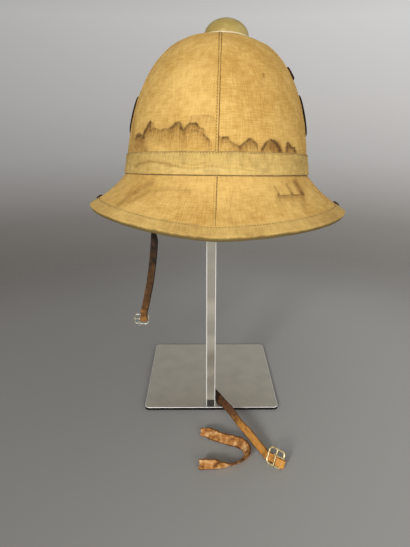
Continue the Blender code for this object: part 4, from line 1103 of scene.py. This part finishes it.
helmet_place = np.eye(4)
helmet_place[:3, :3] = LEAN
helmet_place[:3, 3] = HELMET_AT
vent_place = helmet_place @ np.array(
    Matrix.Translation((VENT_SHIFT, 0, CROWN_TOP + VENT_GAP)) @ Matrix.Rotation(VENT_TILT, 4, "Y")
)
outer = dome(VENT_RADIUS, VENT_HEIGHT - VENT_LIP, VENT_LIP, 34)
inner = dome(VENT_RADIUS - VENT_WALL, VENT_HEIGHT - VENT_LIP - VENT_WALL, VENT_LIP, 20)[::-1]
curl = [
    # radius, height
    (VENT_RADIUS - VENT_WALL, 0.3 * MM),
    (VENT_RADIUS - VENT_WALL + 0.4 * MM, 0.0),
    (VENT_RADIUS - 0.1 * MM, 0.0),
    (VENT_RADIUS + 0.25 * MM, 0.35 * MM),
    (VENT_RADIUS + 0.3 * MM, 0.8 * MM),
    (VENT_RADIUS + 0.1 * MM, 1.2 * MM),
]
profile = np.concatenate([inner, curl, outer])
on_rim = np.r_[np.zeros(len(inner)), np.ones(len(curl)), np.zeros(len(outer))]
marks = {"rim": np.r_[np.repeat(on_rim[1:-1], VENT_AROUND), 0, 0]}
body = turned(profile, VENT_AROUND, vent_place)
build("vent_dome", *body, vent_look, "vent_metal", "vent_cap", marks=marks)
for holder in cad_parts["vent_collar"].material_slots:
    holder.material = vent_look.material

# Badges and studs: thin cast plates bent to the crown's sides, left bare, and two round-headed studs
# through the brim. All are blackened brass, rubbed in patches.

BADGE_THICKNESS = 2.4 * MM
BADGE_OUTLINE = (
    # share of the height, share of the width
    (0.00, 0.62),
    (0.18, 0.90),
    (0.45, 1.00),
    (0.80, 1.00),
    (1.00, 0.86),
)
BADGES = (
    # name, turn, foot height, height, width
    ("badge_left", math.radians(-91.5), 41 * MM, 35 * MM, 28 * MM),
    ("badge_right", math.radians(91), 39 * MM, 39 * MM, 30 * MM),
    ("badge_right_small", math.radians(84), 92.3 * MM, 11 * MM, 14 * MM),
)
STUDS = (
    # name, turn, share of the way from the edge to the crown
    ("stud_right", math.radians(82), 0.14),
    ("stud_left", math.radians(-84), 0.14),
)
STUD_RADIUS = 3.6 * MM
STUD_HEIGHT = 1.6 * MM
BADGE_DARK = (0.022, 0.012, 0.007)
BADGE_RUBBED = (0.14, 0.075, 0.035)
BADGE_UP = 40
BADGE_ACROSS = 26
HEAD_AROUND = 36

badge_look = Look("dark_brass", roughness=0.75, metallic=0.1, specular=0.1)
rubbed = badge_look.noise(3 * MM, 5.0)
badge_look.paint(rubbed, 0.5, 0.75, BADGE_DARK, BADGE_RUBBED)
badge_look.bump(rubbed, 0.15 * MM, 0.5)

for name, turn, foot, height, width in BADGES:
    up = np.linspace(0, 1, BADGE_UP)[:, None]
    side = np.linspace(-1, 1, BADGE_ACROSS)
    climbs = climb_at_height(foot + height * up)
    half = turn_across(crown, turn, climbs, width / 2) * np.interp(up, *np.array(BADGE_OUTLINE).T)
    rounded = (1 - side**12) * (1 - (2 * up - 1) ** 16)
    front = GAP + BADGE_THICKNESS * (0.55 + 0.45 * np.clip(rounded, 0, 1))
    outer = on_helmet(crown, turn + half * side, climbs, front)
    inner = on_helmet(crown, turn + half * side, climbs, GAP)
    points = np.concatenate([outer.reshape(-1, 3), inner.reshape(-1, 3)])
    faces = [sheet_faces(BADGE_UP, BADGE_ACROSS)]
    build(name + "_plate", points, faces, badge_look, "dark_metal", name)


def facing(origin, normal):
    """A placement on a surface, with the piece's axis along the normal."""
    beside = unit(np.cross(normal, (0.0, 1.0, 0.0)))
    place = np.eye(4)
    place[:3, :3] = np.stack([beside, np.cross(normal, beside), normal], 1)
    place[:3, 3] = origin
    return place


def button(radius, height):
    """A low round head: a quarter ellipse over a short upright rim."""
    angles = np.linspace(0, np.pi / 2, 9)
    head = np.stack([radius * np.cos(angles), height * (0.3 + 0.7 * np.sin(angles))], -1)
    head[-1, 0] = 0
    return np.concatenate([[(0, 0), (radius * 0.94, 0), (radius, 0.1 * height)], head])


for name, turn, climb in STUDS:
    foot = on_helmet(brim, turn, climb, 0.2 * MM + GAP)
    place = facing(foot, unit(foot - on_helmet(brim, turn, climb)))
    head = turned(button(STUD_RADIUS, STUD_HEIGHT), HEAD_AROUND, place)
    build(name + "_head", *head, badge_look, "dark_metal", name)

# Hanging strap: a length of bridle leather riveted inside the left wall. It twists once on its way
# down and is folded through a silver wire buckle.

STRAP_WIDTH = 8.4 * MM
STRAP_THICKNESS = 1.8 * MM
STRAP_STEP = 0.45 * MM
STRAP_SIDES = 40
STRAP_SMOOTHING = 6
HANGING_FROM = 21.6 * MM
HANGING_DROP = 183 * MM
HANGING_SWING = 16 * MM
HANGING_FLAP = 9 * MM
HANGING_APPROACH = 4 * MM
HANGING_LEAD = 3 * MM
HANGING_BUCKLE_ALONG = (-0.12, 0.37, -0.92)
BUCKLE_LENGTH = 15.8 * MM
BUCKLE_WIDTH = 15.8 * MM
BUCKLE_CORNER = 3.5 * MM
WIRE_RADIUS = 0.9 * MM
WIRE_SIDES = 14
BAR_SHARE = 0.8
PRONG_RADIUS = 0.6 * MM
PRONG_HOOK = math.radians(175)
RIVET_RADIUS = 2.6 * MM
RIVET_HEIGHT = 1.2 * MM
HANGING_COURSE = (
    # inward as a share of the swing, down as a share of the drop, turn of the face in degrees
    (0.03, -0.022, 90),
    (0.01, 0.044, 90),
    (0.12, 0.142, 90),
    (0.47, 0.262, 88),
    (0.81, 0.372, 82),
    (0.95, 0.459, 62),
    (1.01, 0.514, 18),
    (0.96, 0.574, 0),
    (0.81, 0.683, 0),
    (0.58, 0.803, 0),
    (0.30, 0.918, 0),
    (0.06, 1.000, 0),
)
TONE_DOWN = (
    # share of the way along, tone
    (0.0, -0.1),
    (0.38, 0.0),
    (0.52, 0.28),
    (0.72, 0.42),
    (0.84, 0.55),
    (0.93, 0.92),
    (1.0, 0.9),
)
LEATHER_BLACK = (0.014, 0.009, 0.006)
LEATHER_BROWN = (0.10, 0.045, 0.014)
LEATHER_TAN = (0.42, 0.19, 0.055)
SILVER = (0.92, 0.88, 0.74)
SILVER_DULL = (0.20, 0.16, 0.10)
BRASS = (0.88, 0.72, 0.38)
BRASS_DULL = (0.30, 0.20, 0.07)


def smooth_rows(rows, steps):
    """Catmull-Rom curve through rows of any columns, with this many steps between two rows."""
    rows = np.array(rows, float)
    ends = np.concatenate([[2 * rows[0] - rows[1]], rows, [2 * rows[-1] - rows[-2]]])
    share = np.arange(steps)[:, None] / steps
    spans = []
    for before, here, after, beyond in zip(ends, ends[1:], ends[2:], ends[3:]):
        spans.append(
            here
            + 0.5 * share * (after - before)
            + share**2 * (before - 2.5 * here + 2 * after - 0.5 * beyond)
            + share**3 * (1.5 * here - 0.5 * before - 1.5 * after + 0.5 * beyond)
        )
    return np.concatenate(spans + [rows[-1:]])


def tilted_across(centres, tilts, behind):
    """Across vectors that lie level to the left of the path and rise by the tilt."""
    along = unit(np.gradient(centres, axis=0))
    left = unit(np.cross(behind, along))
    angle = np.radians(tilts)[:, None]
    return np.cos(angle) * left + np.sin(angle) * np.cross(along, left)


def strap(centres, acrosses, widths, ragged=(0.0, 0.0), rough=0.0, nibbled=0.22 * MM, seed=0):
    """A strap of rounded rectangular section carried along its centres: a superellipse of the
    width and thickness, with nibbled sides and, where asked, ragged ends and a rough face. Gives
    points, faces, cloth places, the share of the way along and the share of the way across."""
    travel = travelled(centres)
    at = np.linspace(0, travel[-1], int(travel[-1] / STRAP_STEP))
    centres = sampled(at, travel, centres)
    acrosses = sampled(at, travel, acrosses)
    widths = np.interp(at, travel, widths)[:, None]
    for _ in range(STRAP_SMOOTHING):
        for rows in (centres, acrosses):
            rows[1:-1] += (rows[:-2] + rows[2:] - 2 * rows[1:-1]) / 4
    along = unit(np.gradient(centres, axis=0))
    acrosses = unit(acrosses - (acrosses * along).sum(1, keepdims=True) * along)
    face = np.cross(along, acrosses)[:, None]
    along = along[:, None]
    acrosses = acrosses[:, None]
    angle = full_turn(STRAP_SIDES)
    u = np.sign(np.cos(angle)) * np.abs(np.cos(angle)) ** 0.3
    w = np.sign(np.sin(angle)) * np.abs(np.sin(angle)) ** 0.55
    grid = centres[:, None] + (widths / 2 * u)[..., None] * acrosses
    grid = grid + (STRAP_THICKNESS / 2 * w)[:, None] * face
    wear = nibbled * lumps(grid, 3.5 * MM, seed) * np.abs(u) ** 6 * np.sign(u)
    grid = grid + wear[..., None] * acrosses
    swell = rough * lumps(grid, 1.6 * MM, seed + 1) * w
    grid = grid + swell[..., None] * face
    for end, outward, size in zip((0, -1), (-1, 1), ragged):
        if size:
            pull = outward * size * np.exp(-np.abs(at - at[end]) / (2.5 * size))
            shift = lumps(np.stack([u, 0 * u, 0 * u], -1) * 2 + seed, 0.35, seed + 2)
            grid = grid + (pull[:, None] * shift)[..., None] * along
    flat = np.stack(np.broadcast_arrays(widths / 2 * u, at[:, None]), -1)
    flat = np.concatenate([flat.reshape(-1, 2), [(0, 0), (0, at[-1])]])
    points = np.concatenate([grid.reshape(-1, 3), grid[[0, -1]].mean(1)])
    way = np.r_[np.repeat(at / at[-1], STRAP_SIDES), 0, 1]
    beside = np.r_[np.tile(u, len(at)), 0, 0]
    return points, capped_faces(len(at), STRAP_SIDES), flat, way, beside


def leather_look(name, dark, middle, light, roughness=0.5, fuzz=0.0):
    """Old leather: its tone attribute runs from dark through middle to light; cracked grain."""
    look = Look(name, specular=0.22)
    patches = look.noise(5 * MM, 6.0)
    grain = look.noise(0.7 * MM, 3.0)
    tone = look.attribute("tone") + (patches - 0.5) * (0.9 + 2 * fuzz) + (grain - 0.5) * 0.5
    look.paint(tone, 0.1, 0.5, dark, middle)
    look.tint(look.ramp(tone, 0.5, 0.95), light)
    look.shade("Roughness", patches * 0.3 + (roughness - 0.15))
    cracks = look.noise(0.6 * MM, 4.0, (0.35, 1, 1), flat=True)
    look.bump(cracks + grain * 0.6 + patches * fuzz, (0.18 + fuzz * 0.2) * MM, 0.8)
    return look


def wire_look(name, bright, dull, dull_from, metallic, roughness):
    """Thin metal wire that is bright with dull patches."""
    look = Look(name, metallic, roughness)
    look.paint(look.noise(2 * MM, 4.0), dull_from, dull_from + 0.2, bright, dull)
    return look


def wrapped_end(place, middle, start, bar, side, flap):
    """Centres of a strap that enters a buckle on one face, turns round a bar and comes back."""
    origin, along, across, normal = place
    reach = WIRE_RADIUS + GAP + STRAP_THICKNESS / 2
    path = [(start, side * reach), ((start + bar) / 2, side * reach)]
    for angle in np.linspace(0, np.pi, 14):
        path.append((bar + reach * np.sin(angle), side * reach * np.cos(angle)))
    path.append((bar - flap, -side * reach))
    u, n = np.array(path).T
    return origin + across * middle + u[:, None] * along + n[:, None] * normal


def wire(centres, binormal, radius, closed):
    """A round wire along a path that lies square to its binormal."""
    if closed:
        along = np.roll(centres, -1, 0) - np.roll(centres, 1, 0)
    else:
        along = np.gradient(centres, axis=0)
    normal = unit(np.cross(binormal, unit(along)))[:, None]
    angles = full_turn(WIRE_SIDES)[:, None]
    grid = centres[:, None] + radius * (np.cos(angles) * normal + np.sin(angles) * binormal)
    if closed:
        faces = [grid_faces(*grid.shape[:2], wrap_rows=True, wrap_columns=True)]
        return grid.reshape(-1, 3), faces
    points = np.concatenate([grid.reshape(-1, 3), centres[[0, -1]]])
    return points, capped_faces(*grid.shape[:2])


def buckle(suffix, place, prong_place, look, slot):
    """A wire frame with a middle bar, and a prong hooked round the bar that rests on the end."""
    origin, along, across, normal = place
    inset = BUCKLE_CORNER
    corner_centres = (
        # along, across, first angle
        (BUCKLE_LENGTH - inset, inset, -np.pi / 2),
        (BUCKLE_LENGTH - inset, BUCKLE_WIDTH - inset, 0),
        (inset, BUCKLE_WIDTH - inset, np.pi / 2),
        (inset, inset, np.pi),
    )
    corners = []
    for u, a, first in corner_centres:
        for angle in np.linspace(first, first + np.pi / 2, 9):
            corners.append((u + inset * np.cos(angle), a + inset * np.sin(angle)))
    u, a = np.array(corners).T[:, :, None]
    points, faces = wire(origin + u * along + a * across, normal, WIRE_RADIUS, True)
    ends = np.linspace(0, BUCKLE_WIDTH, 12)[:, None]
    bar = origin + along * BUCKLE_LENGTH / 2 + ends * across
    bar_points, bar_faces = wire(bar, normal, BAR_SHARE * WIRE_RADIUS, False)
    faces = faces + [part + len(points) for part in bar_faces]
    points = np.concatenate([points, bar_points])
    build("buckle_" + suffix + "_wire", points, faces, look, slot, "buckle_" + suffix)
    reach = WIRE_RADIUS + GAP + PRONG_RADIUS
    path = [
        (BUCKLE_LENGTH / 2 + reach * math.cos(angle), reach * math.sin(angle))
        for angle in np.linspace(np.pi / 2 + PRONG_HOOK, np.pi / 2, 14)
    ]
    path += [(0.8 * BUCKLE_LENGTH, 1.15 * reach), (BUCKLE_LENGTH + reach, reach)]
    u, n = np.array(path).T[:, :, None]
    prong = wire(origin + across * prong_place + u * along + n * normal, across, PRONG_RADIUS, False)
    build("prong_" + suffix + "_wire", *prong, look, slot, "prong_" + suffix)


leather = leather_look("bridle_leather", LEATHER_BLACK, LEATHER_BROWN, LEATHER_TAN)
silver = wire_look("pale_wire", SILVER, SILVER_DULL, 0.45, 0.5, 0.3)
brass = wire_look("brass_wire", BRASS, BRASS_DULL, 0.5, 0.45, 0.28)

inside = SHELL_TOP - SHELL_THICKNESS - 2 * GAP - STRAP_THICKNESS / 2
anchor = on_helmet(crown, -np.pi / 2, climb_at_height(HANGING_FROM), inside)
inward, down, face_turn = smooth_rows(HANGING_COURSE, 12).T
centres = anchor + np.stack([HANGING_SWING * inward, 0 * inward, -HANGING_DROP * down], 1)
across = tilted_across(centres, face_turn, np.array([0.0, -1.0, 0.0]))
if across[-1][0] < 0:
    across = -across
along = unit(np.array(HANGING_BUCKLE_ALONG))
side = unit(np.array([1.0, 0.0, 0.0]) - along[0] * along)
normal = np.cross(along, side)
middle = BUCKLE_WIDTH - WIRE_RADIUS - GAP - STRAP_WIDTH / 2
reach = WIRE_RADIUS + GAP + STRAP_THICKNESS / 2
origin = centres[-1] + along * (HANGING_APPROACH + HANGING_LEAD) - side * middle - normal * reach
place = (origin, along, side, normal)
end = wrapped_end(place, middle, -HANGING_APPROACH, BUCKLE_LENGTH / 2, 1, HANGING_FLAP)
centres = np.concatenate([centres, end])
across = np.concatenate([across, np.tile(side, (len(end), 1))])
widths = np.full(len(centres), STRAP_WIDTH)
points, faces, flat, way, beside = strap(centres, across, widths, (0, 0.6 * MM), seed=21)
tone = np.interp(way, *np.array(TONE_DOWN).T) - 0.3 * (beside > 0.75) * (way < 0.9)
marks = {"tone": tone}
name = "strap_hanging"
build(name + "_leather", points, faces, leather, "brown_leather", name, cloth=flat, marks=marks)
buckle("hanging", place, middle - STRAP_WIDTH / 2 - GAP - PRONG_RADIUS, silver, "pale_wire")

rivet_low, rivet_high = (np.array(corner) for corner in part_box("strap_rivet"))
rivet_at = np.array([rivet_low[0], *(rivet_low + rivet_high)[1:] / 2])
place = facing(rivet_at, np.array([1.0, 0.0, 0.0]))
head = turned(button(RIVET_RADIUS, RIVET_HEIGHT), HEAD_AROUND, place)
build("rivet_head", *head, brass, "brass_wire", "strap_rivet")

# Loose strap: the other length of the chin strap, broken off. Its torn end lies twisted on the
# plate and it runs over the plate's front edge to a brass wire buckle on the floor.

BASE_DEPTH = 150 * MM
BASE_THICKNESS = 4 * MM
LOOSE_REACH = 100 * MM
LOOSE_FLAP = 5 * MM
LOOSE_APPROACH = 2 * MM
LOOSE_COURSE = (
    # right, ahead of the plate, on the plate, rise, tilt in degrees, share of the width
    (0.036, -0.350, 1, 0.000, 86, 0.35),
    (0.052, -0.130, 1, 0.000, 38, 1),
    (0.122, 0.030, 1, 0.008, 42, 1),
    (0.195, 0.205, 1, 0.032, 55, 1),
    (0.257, 0.380, 1, 0.040, 62, 1),
    (0.343, 0.530, 1, 0.024, 62, 1),
    (0.422, 0.665, 0, 0.032, 62, 1),
)
BUCKLE_PLACE = (0.508, 0.842)
BUCKLE_HEADING = math.radians(-40)
BUCKLE_TILT = math.radians(62)
LOOSE_BLACK = (0.030, 0.014, 0.009)
LOOSE_BROWN = (0.17, 0.066, 0.024)
LOOSE_TAN = (0.66, 0.30, 0.06)
TONE_LOOSE = (
    # share of the way along, tone
    (0.0, 0.15),
    (0.14, 0.28),
    (0.30, 0.45),
    (0.42, 0.62),
    (0.60, 0.88),
    (0.85, 0.8),
    (1.0, 0.95),
)


def lying_strap(rows, reach, width):
    """Centres, across vectors and widths of a strap given by where its lower edge runs."""
    right, ahead, on_base, rise, tilt, share = smooth_rows(rows, 12).T
    foot_height = on_base * BASE_THICKNESS + reach * rise
    foot = np.stack([reach * right, -BASE_DEPTH / 2 - reach * ahead, foot_height], 1)
    up = np.array([0.0, 0.0, 1.0])
    across = tilted_across(foot, tilt, up)
    edge = GAP + STRAP_THICKNESS / 2 * np.abs(np.cos(np.radians(tilt)))
    centres = foot + across * (width * share / 2)[:, None] + edge[:, None] * up
    return centres, across, width * share


centres, across, widths = lying_strap(LOOSE_COURSE, LOOSE_REACH, STRAP_WIDTH)
corner_right, corner_ahead = LOOSE_REACH * np.array(BUCKLE_PLACE)
corner = np.array([corner_right, -BASE_DEPTH / 2 - corner_ahead, WIRE_RADIUS + GAP])
along = np.array([math.cos(BUCKLE_HEADING), math.sin(BUCKLE_HEADING), 0.0])
left = np.cross((0.0, 0.0, 1.0), along)
side = math.cos(BUCKLE_TILT) * left + math.sin(BUCKLE_TILT) * np.cross(along, left)
place = (corner, along, side, np.cross(along, side))
middle = WIRE_RADIUS + GAP + STRAP_WIDTH / 2
end = wrapped_end(place, middle, -LOOSE_APPROACH, BUCKLE_LENGTH, -1, LOOSE_FLAP)
centres = np.concatenate([centres, end])
across = np.concatenate([across, np.tile(side, (len(end), 1))])
widths = np.concatenate([widths, np.full(len(end), STRAP_WIDTH)])
points, faces, flat, way, beside = strap(centres, across, widths, (2 * MM, 0.5 * MM), seed=31)
marks = {"tone": np.interp(way, *np.array(TONE_LOOSE).T) - 0.25 * (np.abs(beside) > 0.8)}
loose = leather_look("dry_leather", LOOSE_BLACK, LOOSE_BROWN, LOOSE_TAN)
name = "strap_loose"
build(name + "_leather", points, faces, loose, "dark_leather", name, cloth=flat, marks=marks)
buckle("loose", place, middle + STRAP_WIDTH / 2 + GAP + PRONG_RADIUS, brass, "brass_wire")

# Scrap: a torn strip of the same leather that stands on its edge in an open curl on the floor,
# with its rough flesh side outward.

SCRAP_WIDTH = 10.5 * MM
SCRAP_REACH = 50 * MM
SCRAP_COURSE = (
    # right, ahead of the plate, on the plate, rise, tilt in degrees, share of the width
    (-0.24, 0.92, 0, 0, 52, 0.75),
    (-0.12, 0.97, 0, 0, 52, 1),
    (0.10, 1.11, 0, 0, 52, 1),
    (0.36, 1.22, 0, 0, 52, 1),
    (0.54, 1.31, 0, 0, 50, 1),
    (0.61, 1.47, 0, 0, 48, 0.95),
    (0.52, 1.66, 0, 0, 46, 0.9),
    (0.28, 1.79, 0, 0, 55, 0.85),
    (0.04, 1.86, 0, 0, 100, 0.95),
    (-0.24, 1.89, 0, 0, 122, 0.95),
)
FLESH_DARK = (0.12, 0.045, 0.012)
FLESH_MIDDLE = (0.42, 0.17, 0.04)
FLESH_PALE = (0.72, 0.44, 0.19)

centres, across, widths = lying_strap(SCRAP_COURSE, SCRAP_REACH, SCRAP_WIDTH)
points, faces, flat, way, beside = strap(
    centres, across, widths, (2.2 * MM, 2.6 * MM), rough=0.6 * MM, nibbled=0.9 * MM, seed=41
)
marks = {"tone": 0.58 - 0.5 * (np.abs(beside) > 0.8)}
flesh = leather_look("flesh_side", FLESH_DARK, FLESH_MIDDLE, FLESH_PALE, roughness=0.8, fuzz=0.6)
name = "strap_scrap"
build(name + "_leather", points, faces, flesh, "tan_leather", name, cloth=flat, marks=marks)

# Floor, light and camera: a pale floor, painted darker on the left and lighter on the right as shade
# and light, that fades into a grey studio, two soft lights from the front and a weak one from above.

FLOOR_LEFT_PAINTED_SHADE = (0.29, 0.28, 0.262)
FLOOR_RIGHT_PAINTED_LIGHT = (0.48, 0.475, 0.45)
FLOOR_RADIUS = 1.2
FLOOR_SIDES = 96
FLOOR_RINGS = (1.0, 0.5, 0.2, 0.05)

floor_look = Look("floor", roughness=0.6, specular=0.3)
floor_right = floor_look.parts(floor_look.place())[0]
# Painted shade and light: the floor's colour runs from dark on the left to light on the right.
floor_look.paint(floor_right, -0.3, 0.35, FLOOR_LEFT_PAINTED_SHADE, FLOOR_RIGHT_PAINTED_LIGHT)
settings = {"operation": "LENGTH"}
length = floor_look.node("ShaderNodeVectorMath", settings, {0: floor_look.place()}, "Value")
floor_look.shade("Alpha", floor_look.ramp(length, 0.8, 0.24))

angle = full_turn(FLOOR_SIDES)
rim = FLOOR_RADIUS * np.stack([np.cos(angle), np.sin(angle), 0 * angle], 1)
points = np.concatenate([rim * share for share in FLOOR_RINGS] + [[(0, 0, 0)]])
inmost = (len(FLOOR_RINGS) - 1) * FLOOR_SIDES + np.arange(FLOOR_SIDES)
faces = [
    grid_faces(len(FLOOR_RINGS), FLOOR_SIDES, wrap_columns=True),
    fan_faces(inmost, len(points) - 1),
]
floor = build("floor", points, faces, floor_look)

SKY = (
    # sine of the elevation, grey, warmth
    (-1.0, 0.18, 0.05),
    (-0.45, 0.14, 0.10),
    (-0.34, 0.125, 0.10),
    (-0.22, 0.19, 0.07),
    (-0.1, 0.37, 0.03),
    (0.0, 0.45, 0.03),
    (0.15, 0.53, 0.01),
    (0.35, 0.33, 0.01),
    (0.6, 0.32, 0.01),
    (1.0, 0.18, 0.01),
)
world = bpy.data.worlds.new("studio")
bpy.context.scene.world = world
world.use_nodes = True
air = Nodes(world.node_tree)
direction = air.node("ShaderNodeTexCoord", {}, {}, "Generated")
right, back, up = air.parts(direction)
shade = air.node("ShaderNodeValToRGB", {}, {"Fac": up * 0.5 + 0.5})
stops = shade.output.node.color_ramp.elements
for number, (rise, grey, warmth) in enumerate(SKY):
    stop = stops[number] if number < 2 else stops.new(1)
    stop.position = (rise + 1) / 2
    stop.color = (grey * (1 + warmth), grey, grey * (1 - warmth), 1)
front = air.ramp(back, 0.2, -0.9)
lit = air.mix(front, shade, (0.36, 0.36, 0.35))
air.feed(world.node_tree.nodes["Background"].inputs["Color"], lit)
air.feed(world.node_tree.nodes["Background"].inputs["Strength"], right * 0.5 + 1.0)

LIGHTS = (
    # name, place, size, watts
    ("key_left", (-0.85, -2.0, 0.9), 0.45, 30),
    ("fill_right", (0.8, -2.0, 0.8), 0.8, 12),
    ("top", (0.0, 0.1, 2.4), 1.4, 1),
)
LIT_POINT = (0.0, 0.0, 0.25)
SENSOR_WIDTH = 36
for name, spot, size, watts in LIGHTS:
    light = bpy.data.lights.new(name, "AREA")
    light.size = size
    light.energy = watts
    lamp = bpy.data.objects.new(name, light)
    bpy.context.scene.collection.objects.link(lamp)
    lamp.location = spot
    away = unit(np.array(spot) - np.array(LIT_POINT))
    beside = unit(np.cross((0, 1, 0.001), away))
    aim = Matrix(np.stack([beside, np.cross(away, beside), away], 1).tolist())
    lamp.rotation_euler = aim.to_euler()

lens = bpy.data.cameras.new("camera")
lens.sensor_width = SENSOR_WIDTH
lens.lens = FOCAL_LENGTH / max(PHOTO_SIZE) * SENSOR_WIDTH
camera = bpy.data.objects.new("camera", lens)
bpy.context.scene.collection.objects.link(camera)
camera.location = CAMERA_AT
camera.rotation_euler = (CAMERA_RAISED, 0, CAMERA_TURNED)
bpy.context.scene.camera = camera
bpy.context.scene.view_settings.view_transform = "Standard"
